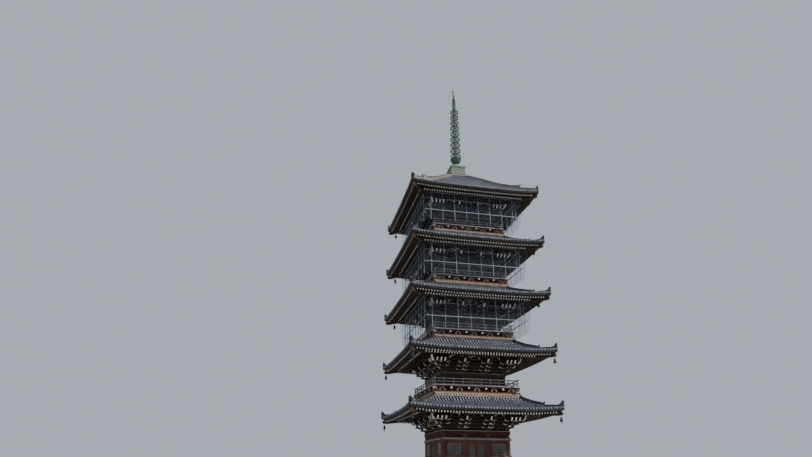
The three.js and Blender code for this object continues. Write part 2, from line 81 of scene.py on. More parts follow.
PLATFORM_HALF, PLATFORM_TOP = 4.75, 1.3
INNER_COLUMN = 1.07
HEAD_DEPTH = 1.33
BEAM = 0.28
DECK = 0.12
DOOR_LOW, DOOR_TOP = 1.56, 3.98
DOOR_HINGE = 0.86

RAFTER_INNER, RAFTER_END = 2.4, 5.25
RAFTER_DEEP, FLYING_DEEP = 0.13, 0.115
RAFTER_SLOPE, FLYING_SLOPE = 0.36, 0.22
CORNER_RISE = 0.22
EDGE_TILE = 0.16
ROLL_LIFT = 0.045

PURLIN_OUT = 1.12
TAIL_OUT = 1.3
STEP = PURLIN_OUT / 3
TIER = 0.27
ARM_LONG, ARM_WIDE, ARM_HIGH = 1.0, 0.15, 0.16
BLOCK_HIGH = TIER - ARM_HIGH + 0.02

NET_OUT, PIPE_OUT = 5.02, 4.7

SPIRE_HALF = 0.84
BASE_TOP, BASIN_TOP, BOWL_TOP, LOTUS_TOP, SHAFT_TOP = 31.08, 32.13, 32.7, 33.4, 39.85
RINGS = 9

# Directions on the front side and at the front right corner
ACROSS, UP, OUT = (1, 0, 0), (0, 0, 1), (0, -1, 0)
CORNER_OUT = (1, -1, 0)
CORNER_ACROSS = (math.sqrt(0.5), math.sqrt(0.5), 0)


# Meshes


def quarter_turn(count):
    """Rotation about the axis by a number of quarter turns."""
    angle = count * math.pi / 2
    cos, sin = math.cos(angle), math.sin(angle)
    return np.array([[cos, -sin, 0], [sin, cos, 0], [0, 0, 1]])


class Piece:
    """Faces of one piece, gathered in full-size metres and built at the model's scale."""

    def __init__(self, name, *finishes):
        self.name = name
        self.finishes = finishes
        self.members = []
        self.chance = random.Random(name)

    def add(self, points, faces, finish=None, grain=UP, tone=None, facing=None):
        """Adds one member. finish and tone are one value, or one for each face. The piece's
        first finish stands where none is given."""
        points = np.array(points, float)
        if facing is None:
            turned = enclosed(points, faces) < 0
        else:
            turned = float(np.dot(mean_normal(points, faces), facing)) < 0
        if turned:
            faces = [tuple(reversed(face)) for face in faces]
        if tone is None:
            tone = self.chance.random()
        names = finish if isinstance(finish, list) else [finish or self.finishes[0]] * len(faces)
        slots = [self.finishes.index(name) for name in names]
        self.members.append((points, faces, slots, np.array(grain, float), tone))

    def bar(self, x0, x1, out, z, deep, tall, finish=None):
        """A level bar along the front side, out from the axis, whose middle is at height z."""
        self.add(*beam(front(x0, out, z), front(x1, out, z), deep, tall), finish, ACROSS)

    def post(self, x, out, z0, z1, wide, deep, finish=None):
        """An upright on the front side."""
        ends = front(x, out, z0), front(x, out, z1)
        self.add(*beam(*ends, wide, deep, up=(0, 1, 0)), finish, UP)

    def boss(self, profile, sides, x, out, z, finish=None, grain=UP):
        """A turned boss on the front side. The profile is radius and distance outwards."""
        points, faces = lathe(profile, sides)
        points = points[:, [0, 2, 1]] * (1, -1, 1) + np.array(front(x, out, z))
        self.add(points, faces, finish, grain)

    def plate(self, outline, spot, thick, finish=None, grain=ACROSS):
        """A flat outline, set upright along the front side at a spot."""
        self.add(*extrude(outline, spot, ACROSS, UP, (0, thick, 0)), finish, grain)

    def build(self, turns=1, body=HOUSE, sharp=35, first=0, tone_step=0.37):
        """Makes the mesh, repeated at the quarter turns from first up to turns, and lets it ride
        on a body."""
        points, faces, slots, grains, tones = [], [], [], [], []
        start = 0
        for turn in range(first, turns):
            spin = quarter_turn(turn)
            for own_points, own_faces, own_slots, grain, tone in self.members:
                points.append(own_points @ spin.T)
                faces.extend([tuple(i + start for i in face) for face in own_faces])
                count = len(own_faces)
                slots.extend(own_slots)
                grains.append(np.broadcast_to(spin @ grain, (count, 3)))
                tones.append(np.broadcast_to((np.array(tone) + tone_step * turn) % 1, count))
                start += len(own_points)
        mesh = bpy.data.meshes.new(self.name)
        mesh.from_pydata((np.concatenate(points) * SCALE).tolist(), [], faces)
        mesh.polygons.foreach_set("material_index", np.array(slots, np.int32))
        mesh.polygons.foreach_set("use_smooth", np.ones(len(faces), bool))
        mesh.set_sharp_from_angle(angle=math.radians(sharp))
        for finish in self.finishes:
            mesh.materials.append(material(finish))
        lay_grain(mesh, np.concatenate(grains), np.concatenate(tones))
        mesh.validate()
        made = bpy.data.objects.new(self.name, mesh)
        bpy.context.scene.collection.objects.link(made)
        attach(made, body)
        return made


def lay_grain(mesh, grains, tones):
    """Writes a UV map whose U runs with the grain, in metres, and each member's tone."""
    count = len(mesh.polygons)
    normals = np.zeros(count * 3)
    totals = np.zeros(count, np.int32)
    mesh.polygons.foreach_get("normal", normals)
    mesh.polygons.foreach_get("loop_total", totals)
    normals = normals.reshape(-1, 3)
    along = grains - normals * np.sum(grains * normals, axis=1, keepdims=True)
    flat = np.linalg.norm(along, axis=1) < 0.3
    along[flat] = np.cross(normals[flat], [0.6, 0.3, 0.74])
    along /= np.linalg.norm(along, axis=1, keepdims=True) + 1e-9
    across = np.cross(normals, along)
    corners = np.zeros(len(mesh.loops), np.int32)
    mesh.loops.foreach_get("vertex_index", corners)
    co = np.zeros(len(mesh.vertices) * 3)
    mesh.vertices.foreach_get("co", co)
    co = co.reshape(-1, 3)[corners]
    face = np.repeat(np.arange(count), totals)
    u = np.sum(co * along[face], axis=1) + tones[face] * 31.7
    v = np.sum(co * across[face], axis=1) + tones[face] * 17.3
    layer = mesh.uv_layers.new(name="grain")
    layer.data.foreach_set("uv", np.stack([u, v], axis=1).astype(np.float32).ravel())
    tone = mesh.attributes.new("tone", "FLOAT", "FACE")
    tone.data.foreach_set("value", tones.astype(np.float32))


def enclosed(points, faces):
    """Volume inside the faces, below zero where they face inwards."""
    middle = points.mean(axis=0)
    total = 0.0
    for face in faces:
        a = points[face[0]] - middle
        for i in range(1, len(face) - 1):
            b = points[face[i]] - middle
            c = points[face[i + 1]] - middle
            total += float(np.dot(a, np.cross(b, c)))
    return total


def mean_normal(points, faces):
    total = np.zeros(3)
    for face in faces[:: max(1, len(faces) // 12)]:
        a, b, c = (points[face[i]] for i in (0, 1, 2))
        total += np.cross(b - a, c - a)
    return total


def strip(rows, closed=False):
    """Quads that join rows of points. Closed rows meet at their ends."""
    rows = np.array(rows, float)
    count, width = rows.shape[:2]
    last = width if closed else width - 1
    faces = []
    for i in range(count - 1):
        for j in range(last):
            k = (j + 1) % width
            faces.append((i * width + j, i * width + k, (i + 1) * width + k, (i + 1) * width + j))
    return rows.reshape(-1, 3), faces


def capped(rows):
    """Closed rows of points joined into a solid with both ends filled."""
    points, faces = strip(rows, closed=True)
    width = len(rows[0])
    faces.append(tuple(range(width)))
    faces.append(tuple(range(len(points) - width, len(points))))
    return points, faces


def extrude(outline, origin, across, up, depth):
    """A flat outline in across and up, given depth on both sides of it."""
    origin, across, up, depth = (np.array(v, float) for v in (origin, across, up, depth))
    flat = np.array([origin + u * across + v * up for u, v in outline])
    return capped([flat - depth / 2, flat + depth / 2])


def beam(start, end, width, height, up=(0, 0, 1)):
    """A squared member between two points. Its last two faces are its ends."""
    start, end, up = (np.array(v, float) for v in (start, end, up))
    along = (end - start) / np.linalg.norm(end - start)
    side = np.cross(along, up)
    side = side / np.linalg.norm(side) * width / 2
    high = np.cross(side, along)
    high = high / np.linalg.norm(high) * height / 2
    ring = np.array([side + high, -side + high, -side - high, side - high])
    return capped([start + ring, end + ring])


def with_ends(sides, ends):
    """Finishes of a beam's faces, of which the last two are its ends."""
    return [sides] * 4 + [ends] * 2


def lathe(profile, sides, centre=(0, 0)):
    """A turned solid. The profile is radius and height."""
    turn = np.arange(sides) * 2 * math.pi / sides
    cos, sin = np.cos(turn), np.sin(turn)
    rows = [np.stack([r * cos, r * sin, np.full(sides, z)], axis=1) for r, z in profile]
    points, faces = capped(rows)
    return points + np.array([*centre, 0], float), faces


def tube(path, radii, sides):
    """A round bar along a path."""
    path = [np.array(p, float) for p in path]
    rows = []
    for i, point in enumerate(path):
        along = path[min(i + 1, len(path) - 1)] - path[max(i - 1, 0)]
        along = along / np.linalg.norm(along)
        side = np.cross(along, [0.1, 0.2, 1.0] if abs(along[2]) < 0.9 else [1.0, 0.1, 0.0])
        side = side / np.linalg.norm(side)
        high = np.cross(side, along)
        r = radii[i] if hasattr(radii, "__len__") else radii
        turn = np.arange(sides) * 2 * math.pi / sides
        rows.append(point + r * (np.outer(np.cos(turn), side) + np.outer(np.sin(turn), high)))
    return capped(rows)


def curve(points, x):
    """Smooth value at x through points whose first coordinates rise."""
    xs, ys = np.array([p[0] for p in points]), np.array([p[1] for p in points])
    slopes = np.gradient(ys, xs)
    k = int(np.clip(np.searchsorted(xs, x) - 1, 0, len(xs) - 2))
    width = xs[k + 1] - xs[k]
    t = (x - xs[k]) / width
    return float(
        (1 + 2 * t) * (1 - t) ** 2 * ys[k]
        + t * (1 - t) ** 2 * width * slopes[k]
        + t**2 * (3 - 2 * t) * ys[k + 1]
        + t**2 * (t - 1) * width * slopes[k + 1]
    )


# Shapes of a storey's roof and eaves


def roof_slope(n):
    """Roof surface from its top to the tile edge: half width, height, share of the corner rise."""
    reach, eave = STOREYS[n]["reach"], STOREYS[n]["eave"]
    if n == 5:
        rows = [(SPIRE_HALF, 4.2, 0), (1.6, 3.55, 0), (2.8, 2.56, 0), (4, 1.6, 0)]
        rows += [(5, 0.87, 0.2), (5.8, 0.38, 0.5)]
    else:
        half, low, _ = SHOULDERS[n]
        rows = [(half, low - eave, 0), (4.4, 0.89, 0.05), (5.25, 0.51, 0.25)]
    return [(r, eave + z, share) for r, z, share in [*rows, (reach, 0.13, 1)]]


def corner_rise(share, r, along):
    """How far a line at half width r has risen at a distance along it, towards the corner."""
    return share * CORNER_RISE * min(abs(along) / r, 1) ** 3


def roof_height(n, r, along=0.0):
    slope = roof_slope(n)
    share = float(np.interp(r, [p[0] for p in slope], [p[2] for p in slope]))
    return curve(slope, r) + corner_rise(share, r, along)


def rafter_tip(n):
    return STOREYS[n]["reach"] - 0.28


def flying_under(n, r, along=0.0):
    """Underside of the upper rafters."""
    tip = rafter_tip(n)
    share = np.interp(r, [RAFTER_END, tip], [0.15, 0.85])
    return STOREYS[n]["eave"] - 0.24 + FLYING_SLOPE * (tip - r) + corner_rise(share, r, along)


def rafter_over(n, r, along=0.0):
    """Top of the lower rafters' boards."""
    rise = FLYING_SLOPE * (rafter_tip(n) - RAFTER_END)
    share = np.interp(r, [RAFTER_INNER, RAFTER_END], [0, 0.15])
    level = STOREYS[n]["eave"] - 0.1 + rise + RAFTER_SLOPE * (RAFTER_END - r)
    return level + corner_rise(share, r, along)


def rafter_under(n, r, along=0.0):
    """Underside of the lower rafters."""
    return rafter_over(n, r, along) - 0.28


def column_line(n):
    """Distance of the inner columns from the middle of a side."""
    return INNER_COLUMN * STOREYS[n]["wall"] / STOREYS[1]["wall"]


def front(along, out, z):
    """A point on the front side: distance along it, out from the axis, and height."""
    return (along, -out, z)


def corner(r, side, z):
    """A point near the front right corner: half width out, offset across the diagonal, height."""
    half = side / math.sqrt(2)
    return (r + half, -r + half, z)


def spread(half, spacing):
    """Evenly spaced places from -half to half, near the spacing given."""
    count = max(2, round(2 * half / spacing) + 1)
    return np.linspace(-half, half, count)


def around(turn):
    """Directions out from the axis and across, at a turn in radians."""
    out = np.array([math.cos(turn), math.sin(turn), 0])
    side = np.array([-math.sin(turn), math.cos(turn), 0])
    return out, side


# Finishes


class Signal:
    """A shader socket that takes part in sums and products."""

    def __init__(self, graph, socket):
        self.graph = graph
        self.socket = socket

    def __add__(self, other):
        return self.graph.maths("ADD", self, other)

    def __sub__(self, other):
        return self.graph.maths("SUBTRACT", self, other)

    def __mul__(self, other):
        return self.graph.maths("MULTIPLY", self, other)

    def __rsub__(self, other):
        return self.graph.maths("SUBTRACT", other, self)

    __radd__ = __add__
    __rmul__ = __mul__


class Graph:
    """The nodes of one material."""

    def __init__(self, name):
        self.made = bpy.data.materials.new(name)
        self.made.use_nodes = True
        self.tree = self.made.node_tree
        self.shader = self.tree.nodes["Principled BSDF"]

    def node(self, kind, settings=None, values=None, output=0):
        """Makes a node, sets it up, fills or links its sockets and gives one of its outputs."""
        made = self.tree.nodes.new(kind)
        for key, value in (settings or {}).items():
            if key == "stops":
                for stop, (place, colour) in zip(made.color_ramp.elements, value):
                    stop.position = place
                    stop.color = (*colour, 1)
            else:
                setattr(made, key, value)
        for key, value in (values or {}).items():
            if isinstance(value, Signal):
                self.tree.links.new(value.socket, made.inputs[key])
            else:
                made.inputs[key].default_value = value
        return Signal(self, made.outputs[output])

    def maths(self, operation, first, second):
        return self.node("ShaderNodeMath", {"operation": operation}, {0: first, 1: second})

    def place(self, along=None):
        """Where the surface is: with the grain of a built piece, or in the frame."""
        if along is None:
            return self.node("ShaderNodeUVMap", {"uv_map": "grain"})
        return self.node("ShaderNodeTexCoord", output=3)

    def stretched(self, vector, factors):
        return self.node("ShaderNodeVectorMath", {"operation": "MULTIPLY"}, {0: vector, 1: factors})

    def noise(self, vector, scale, detail=4.0, rough=0.55):
        return self.node(
            "ShaderNodeTexNoise",
            None,
            {"Vector": vector, "Scale": scale, "Detail": detail, "Roughness": rough},
        )

    def between(self, value, low, high):
        """0 below low, 1 above high."""
        return self.node(
            "ShaderNodeMapRange", {"clamp": True}, {0: value, 1: low, 2: high, 3: 0.0, 4: 1.0}
        )

    def mix(self, first, second, share):
        def colour(value):
            return value if isinstance(value, Signal) else (*value, 1)

        return self.node(
            "ShaderNodeMix",
            {"data_type": "RGBA"},
            {0: share, 6: colour(first), 7: colour(second)},
            output=2,
        )

    def tone(self):
        return self.node("ShaderNodeAttribute", {"attribute_name": "tone"}, output=2)

    def finish(self, colour, rough, bump=None, depth=0.002, metallic=None, gloss=0.25):
        """Feeds the shader."""
        self.shader.inputs["Specular IOR Level"].default_value = gloss
        for name, value in (("Base Color", colour), ("Roughness", rough), ("Metallic", metallic)):
            if isinstance(value, Signal):
                self.tree.links.new(value.socket, self.shader.inputs[name])
            elif value is not None:
                self.shader.inputs[name].default_value = value
        if bump is not None:
            normal = self.node(
                "ShaderNodeBump", None, {"Strength": 0.6, "Distance": depth, "Height": bump}
            )
            self.tree.links.new(normal.socket, self.shader.inputs["Normal"])
        return self.made


def shade(colour, factor):
    """The colour made lighter or darker."""
    return tuple(min(1.0, c * factor) for c in colour)


def wood(name, colour, along=None, worn=0.5, paint=None, chips=0.5):
    """Old timber with grain, drying cracks, grey weathering and, on some parts, worn paint."""
    g = Graph(name)
    place = g.place(along)
    lengths = {None: (4, 70, 1), "x": (4, 60, 60), "y": (60, 4, 60), "z": (60, 60, 4)}[along]
    spot = g.place("frame")
    fibre = g.noise(g.stretched(place, lengths), 1.0, 6.0, 0.65)
    broad = g.noise(g.stretched(place, tuple(v / 9 for v in lengths)), 1.0, 3.0)
    patch = g.between(g.noise(spot, 2.6, 5.0, 0.6), 0.42, 0.68)
    ink = g.between(g.noise(spot, 11.0, 6.0, 0.7), 0.5, 0.75)
    grey = shade((0.2, 0.185, 0.17), 0.25 + sum(colour) / 3 / 0.15)
    base = g.mix(shade(colour, 0.5), shade(colour, 1.45), g.between(fibre, 0.3, 0.7))
    base = g.mix(base, shade(colour, 0.62), g.between(broad, 0.45, 0.8) * 0.7)
    base = g.mix(base, grey, patch * worn)
    base = g.mix(base, shade(colour, 0.35), ink * 0.55)
    if along is None:
        base = g.mix(base, shade(colour, 0.45), g.tone() * 0.45)
    rough = 0.66 + 0.28 * fibre
    height = fibre + broad * 0.5
    if paint:
        low = 0.2 + 0.25 * chips
        coat = g.between(g.noise(spot, 38.0, 5.0, 0.7) - 0.25 * patch, low, low + 0.1)
        soiled = g.mix(shade(paint, 0.62), paint, g.between(g.noise(spot, 14.0), 0.35, 0.6))
        base = g.mix(base, soiled, coat)
        height = height * 0.6 + coat * 0.5
    return g.finish(base, rough, height, 0.0016)


def clay(name, colour, along=None, moss=0.25, pale=0.5):
    """Smoked clay tile: each tile has its own tone, worn silver on top and lichen in patches."""
    g = Graph(name)
    spot = g.place("frame")
    grit = g.noise(spot, 90.0, 5.0, 0.7)
    cloud = g.noise(spot, 5.5, 5.0, 0.6)
    wide = g.noise(spot, 0.9, 3.0, 0.5)
    base = g.mix(shade(colour, 0.62), shade(colour, 1.3), g.between(cloud, 0.32, 0.68))
    if along is None:
        base = g.mix(base, shade(colour, 1.75), g.between(g.tone(), 0.3, 1.0) * 0.5)
        base = g.mix(base, shade(colour, 0.45), g.between(1 - g.tone(), 0.72, 1.0) * 0.6)
    worn = g.between(g.noise(spot, 22.0, 6.0, 0.75), 0.5, 0.72)
    base = g.mix(base, shade(colour, 3.5), worn * (0.25 * pale + 0.2 * pale * wide))
    lichen = g.between(g.noise(spot, 13.0, 6.0, 0.7), 0.6, 0.7) * g.between(wide, 0.4, 0.62)
    base = g.mix(base, (0.16, 0.155, 0.1), lichen * moss)
    rough = 0.62 + 0.25 * cloud + 0.1 * grit
    return g.finish(base, rough, grit * 0.4 + cloud * 0.3, 0.002)


def stone(name, colour):
    """Dressed granite with speckle and rain streaks."""
    g = Graph(name)
    spot = g.place("frame")
    speck = g.node(
        "ShaderNodeTexVoronoi", {"feature": "F1"}, {"Vector": spot, "Scale": 220.0}, output=1
    )
    grain = g.noise(spot, 140.0, 4.0, 0.7)
    cloud = g.noise(spot, 3.2, 5.0, 0.6)
    streak = g.noise(g.stretched(spot, (14, 14, 1.2)), 1.0, 4.0, 0.6)
    lump = g.noise(spot, 24.0, 5.0, 0.6)
    base = g.mix(shade(colour, 0.78), shade(colour, 1.2), g.between(cloud, 0.35, 0.65))
    base = g.mix(base, speck, 0.1)
    base = g.mix(base, shade(colour, 0.5), g.between(grain, 0.58, 0.7) * 0.6)
    base = g.mix(base, (0.11, 0.105, 0.085), g.between(streak, 0.52, 0.75) * 0.55)
    return g.finish(base, 0.7 + 0.25 * grain, grain * 0.3 + lump, 0.003)


def bronze(name, metal, patina, green=0.6):
    """Cast bronze under green patina."""
    g = Graph(name)
    spot = g.place("frame")
    cloud = g.noise(spot, 7.0, 6.0, 0.65)
    fine = g.noise(spot, 55.0, 5.0, 0.7)
    drip = g.noise(g.stretched(spot, (30, 30, 2.5)), 1.0, 4.0)
    low = 0.75 - 0.4 * green
    cover = g.between(cloud * 0.5 + fine * 0.25 + drip * 0.4, low, low + 0.2)
    tint = g.mix(shade(patina, 0.55), shade(patina, 1.35), g.between(fine, 0.35, 0.65))
    base = g.mix(metal, tint, cover)
    return g.finish(base, 0.55 + 0.3 * cover, fine + cover * 0.5, 0.002, 0.7 - 0.6 * cover)


def galvanised(name, colour):
    """Zinc-coated pipe with its crystal pattern and rust spots."""
    g = Graph(name)
    spot = g.place("frame")
    flake = g.node("ShaderNodeTexVoronoi", None, {"Vector": spot, "Scale": 60.0}, output=0)
    cloud = g.noise(spot, 9.0, 5.0, 0.65)
    rust = g.between(g.noise(spot, 5.0, 7.0, 0.75), 0.62, 0.7)
    base = g.mix(shade(colour, 0.8), shade(colour, 1.15), g.between(flake, 0.0, 0.6))
    base = g.mix(base, shade(colour, 0.6), g.between(cloud, 0.45, 0.7) * 0.6)
    base = g.mix(base, (0.17, 0.08, 0.04), rust * 0.7)
    return g.finish(base, 0.42 + 0.3 * cloud, cloud * 0.4 + rust * 0.5, 0.001, 0.6 - 0.55 * rust)


def iron(name, colour):
    """Dark hammered iron with brown rust."""
    g = Graph(name)
    spot = g.place("frame")
    dent = g.node("ShaderNodeTexVoronoi", None, {"Vector": spot, "Scale": 90.0}, output=0)
    cloud = g.noise(spot, 26.0, 6.0, 0.7)
    rust = g.between(cloud, 0.48, 0.66)
    base = g.mix(colour, (0.13, 0.06, 0.03), rust * 0.7)
    return g.finish(base, 0.5 + 0.35 * rust, dent * 0.5 + cloud * 0.3, 0.001, 0.75 - 0.6 * rust)


def netting(name, colour, cell, clear):
    """Knotted bird net: thin threads with the sky between them."""
    g = Graph(name)
    threads = []
    for axis in (0, 1):
        place = g.node("ShaderNodeSeparateXYZ", None, {0: g.place()}, output=axis)
        wave = g.maths("PINGPONG", place, cell / 2)
        threads.append(g.between(wave, cell * 0.07, cell * 0.03))
    mask = g.maths("MAXIMUM", *threads)
    haze = g.noise(g.place("frame"), 4.0, 4.0, 0.6)
    dust = g.mix(shade(colour, 0.8), shade(colour, 1.15), g.between(haze, 0.35, 0.65))
    alpha = clear * 0.5 + clear * haze + mask * 0.3
    g.tree.links.new(alpha.socket, g.shader.inputs["Alpha"])
    return g.finish(dust, 0.6 + 0.2 * haze, mask, 0.0005)


def plaster(name, colour):
    """Lime plaster with rain streaks."""
    g = Graph(name)
    spot = g.place("frame")
    cloud = g.noise(spot, 4.0, 6.0, 0.65)
    fine = g.noise(spot, 80.0, 4.0, 0.6)
    streak = g.noise(g.stretched(spot, (22, 22, 2)), 1.0, 4.0, 0.6)
    base = g.mix(shade(colour, 0.7), shade(colour, 1.12), g.between(cloud, 0.35, 0.62))
    base = g.mix(base, shade(colour, 0.45), g.between(streak, 0.5, 0.72) * 0.7)
    return g.finish(base, 0.8 + 0.12 * fine, fine + cloud, 0.0015)


# Maker and settings of each finish. A pair of a colour's name and a factor is that colour, made
# that much lighter.
TIMBER = {"colour": ("timber", 1), "worn": 0.25}
WEATHERED = {"colour": ("weathered", 1), "worn": 0.6}
RED = {"colour": ("body", 1), "worn": 0.5}
DARK_RED = {"colour": ("dark_red", 1), "worn": 0.15}
FOOT = {"colour": ("foot", 1), "worn": 0.25}
DOOR = {"colour": ("door", 1), "worn": 0.3}
FINISHES = {
    # The pans and pan rims are copies of the tile colour, far darker than the rolls: painted shade in the
    # hollows between the rolls and on the pan lips at the eave. The pans are partly moss and dirt. The
    # lips make the lower rim of each roll lighter than the rest.
    "roll": (clay, {"colour": ("tile", 3.2)}),
    "pan": (clay, {"colour": ("tile", 0.45), "moss": 0.1, "pale": 0.05}),
    "lip": (clay, {"colour": ("tile", 5.6), "pale": 0.8}),
    "pan_rim": (clay, {"colour": ("tile", 0.3), "pale": 0.1}),
    "tile_bed": (clay, {"colour": ("tile", 0.5), "along": "frame"}),
    "ridge": (clay, {"colour": ("ridge", 1), "moss": 0.4, "pale": 0.6}),
    # A far lighter copy of the ridge tile: painted sunlight on the top roof's ridges.
    "top_ridge": (clay, {"colour": ("top_ridge", 1), "moss": 0.3, "pale": 0.8}),
    "ridge_bed": (clay, {"colour": ("ridge", 1), "along": "frame", "moss": 0.4, "pale": 0.8}),
    "course": (clay, {"colour": ("course", 1), "moss": 0.4, "pale": 0.8}),
    "timber": (wood, TIMBER),
    "timber_upright": (wood, {**TIMBER, "along": "z"}),
    # Half as light as the timber: on the boards over the rafters it is painted shade.
    "timber_deep": (wood, {"colour": ("timber", 0.5), "worn": 0.15}),
    "foot_x": (wood, {**FOOT, "along": "x"}),
    "foot_y": (wood, {**FOOT, "along": "y"}),
    "weathered": (wood, WEATHERED),
    "weathered_x": (wood, {**WEATHERED, "along": "x"}),
    "deck_edge": (wood, {"colour": ("weathered", 2.2), "worn": 0.6}),
    "slat_wood": (wood, {"colour": ("weathered", 0.85), "worn": 0.5}),
    "carved": (wood, {"colour": ("carved", 1), "worn": 0.3}),
    "board": (wood, {"colour": ("board", 1), "worn": 0.35}),
    "pale_board": (wood, {"colour": ("course", 1), "worn": 0.35}),
    "painted_end": (wood, {"colour": ("timber", 1), "paint": ("paint", 1), "chips": 0.15}),
    # Paint chipped and dimmed: wear on the struts and purlin arms, and painted shade on the bracket ends
    # of the netted storeys.
    "worn_edge": (wood, {"colour": ("timber", 1), "paint": ("paint", 0.8), "chips": 0.9}),
    "hip_end": (wood, {"colour": ("hip_end", 1), "worn": 0.3}),
    "red_timber": (wood, RED),
    "red_timber_x": (wood, {**RED, "along": "x"}),
    "red_timber_y": (wood, {**RED, "along": "y"}),
    "red_timber_z": (wood, {**RED, "along": "z"}),
    "dark_red": (wood, DARK_RED),
    "dark_red_x": (wood, {**DARK_RED, "along": "x"}),
    "dark_red_y": (wood, {**DARK_RED, "along": "y"}),
    "door_wood": (wood, DOOR),
    "door_wood_z": (wood, {**DOOR, "along": "z"}),
    "door_panel": (wood, {"colour": ("panel", 1), "worn": 0.6}),
    "stone": (stone, {"colour": ("stone", 1)}),
    "plaster": (plaster, {"colour": ("plaster", 1)}),
    "floor_paper": (plaster, {"colour": ("floor", 1)}),
    "bronze": (bronze, {"metal": ("dark_metal", 1), "patina": ("bronze", 1), "green": 0.75}),
    "basin_bronze": (bronze, {"metal": ("basin_metal", 1), "patina": ("basin", 1), "green": 1.0}),
    "shaft_bronze": (bronze, {"metal": ("shaft_metal", 1), "patina": ("shaft", 1), "green": 0.9}),
    "flame_bronze": (bronze, {"metal": ("flame_metal", 1), "patina": ("flame", 1), "green": 0.9}),
    "jewel_bronze": (bronze, {"metal": ("jewel_metal", 1), "patina": ("jewel", 1), "green": 0.9}),
    "iron": (iron, {"colour": ("iron", 1)}),
    "pipe": (galvanised, {"colour": ("pipe", 1)}),
    "net": (netting, {"colour": ("net", 1), "cell": 0.03, "clear": 0.08}),
}


def material(finish):
    """The material of a finish, made once. The frame's own materials bear other names."""
    name = "aged_" + finish
    found = bpy.data.materials.get(name)
    if found:
        return found
    colours = bpy.context.scene.pagoda_colours
    maker, settings = FINISHES[finish]
    filled = {}
    for key, value in settings.items():
        if isinstance(value, tuple):
            colour, factor = value
            value = shade(getattr(colours, colour), factor)
        filled[key] = value
    return maker(name, **filled)


# Property groups


COLOURS = {
    "tile": ("Roof tile", (0.05, 0.053, 0.064)),
    "ridge": ("Ridge tile", (0.085, 0.08, 0.085)),
    # The top roof's ridge tiles are much lighter than the others: painted sunlight.
    "top_ridge": ("Ridge tile of the top roof", (0.22, 0.185, 0.185)),
    "course": ("Courses under the balconies", (0.22, 0.125, 0.095)),
    "timber": ("Structural timber", (0.055, 0.033, 0.024)),
    "foot": ("Feet of the balconies", (0.13, 0.068, 0.048)),
    "body": ("First storey timber", (0.1, 0.047, 0.036)),
    "dark_red": ("Head beam and upper boards", (0.05, 0.017, 0.012)),
    "weathered": ("Weathered timber", (0.26, 0.235, 0.245)),
    "carved": ("Carved balcony blocks", (0.36, 0.19, 0.135)),
    "board": ("Boards under the balconies", (0.38, 0.22, 0.15)),
    "paint": ("Paint on rafter ends", (0.96, 0.93, 0.85)),
    "hip_end": ("Hip rafter ends", (0.13, 0.065, 0.035)),
    "door": ("Door frames", (0.13, 0.04, 0.025)),
    "panel": ("Door panels", (0.085, 0.09, 0.076)),
    "stone": ("Platform stone", (0.36, 0.34, 0.31)),
    "plaster": ("Mortar bands", (0.37, 0.29, 0.24)),
    "bronze": ("Patina of rings and bells", (0.022, 0.04, 0.03)),
    "dark_metal": ("Metal of rings and bells", (0.03, 0.03, 0.022)),
    "basin": ("Patina of the dew basin", (0.2, 0.25, 0.2)),
    "basin_metal": ("Metal of the dew basin", (0.12, 0.1, 0.05)),
    "shaft": ("Patina of the shaft", (0.2, 0.25, 0.2)),
    "shaft_metal": ("Metal of the shaft", (0.08, 0.085, 0.07)),
    "flame": ("Patina of lotus and flame", (0.06, 0.1, 0.08)),
    "flame_metal": ("Metal of lotus and flame", (0.05, 0.06, 0.045)),
    "jewel": ("Patina of the jewels", (0.42, 0.45, 0.42)),
    "jewel_metal": ("Metal of the jewels", (0.3, 0.29, 0.27)),
    "iron": ("Straps and studs", (0.03, 0.03, 0.03)),
    "pipe": ("Net pipes", (0.24, 0.25, 0.27)),
    "net": ("Bird net", (0.065, 0.095, 0.145)),
    "floor": ("Studio floor", (0.6, 0.6, 0.58)),
}


class PagodaColours(bpy.types.PropertyGroup):
    """Base colours of the finishes."""

    __annotations__ = {
        key: FloatVectorProperty(
            name=label,
            description=f"{label}: base colour",
            subtype="COLOR",
            size=3,
            min=0,
            max=1,
            default=value,
        )
        for key, (label, value) in COLOURS.items()
    }


class PagodaSizes(bpy.types.PropertyGroup):
    """Sizes of the repeated parts, full size."""

    roll_spacing: FloatProperty(
        name="Roll spacing",
        description="Distance between rows of round tiles",
        default=0.262,
        min=0.15,
        max=0.5,
        unit="LENGTH",
    )
    tile_length: FloatProperty(
        name="Tile length",
        description="Visible length of one roof tile",
        default=0.33,
        min=0.15,
        max=0.5,
        unit="LENGTH",
    )
    # Share of each tile, from its lower end, that takes the lighter lip finish.
    rim_share: FloatProperty(
        name="Pale rim",
        description="Share of a roof tile, from its lower end, that is made pale",
        default=0.32,
        min=0.05,
        max=0.9,
        subtype="FACTOR",
    )
    rafter_spacing: FloatProperty(
        name="Rafter spacing",
        description="Distance between rafters",
        default=0.252,
        min=0.12,
        max=0.5,
        unit="LENGTH",
    )
    rafter_width: FloatProperty(
        name="Rafter width",
        description="Width of one rafter",
        default=0.092,
        min=0.05,
        max=0.2,
        unit="LENGTH",
    )


# Roofs


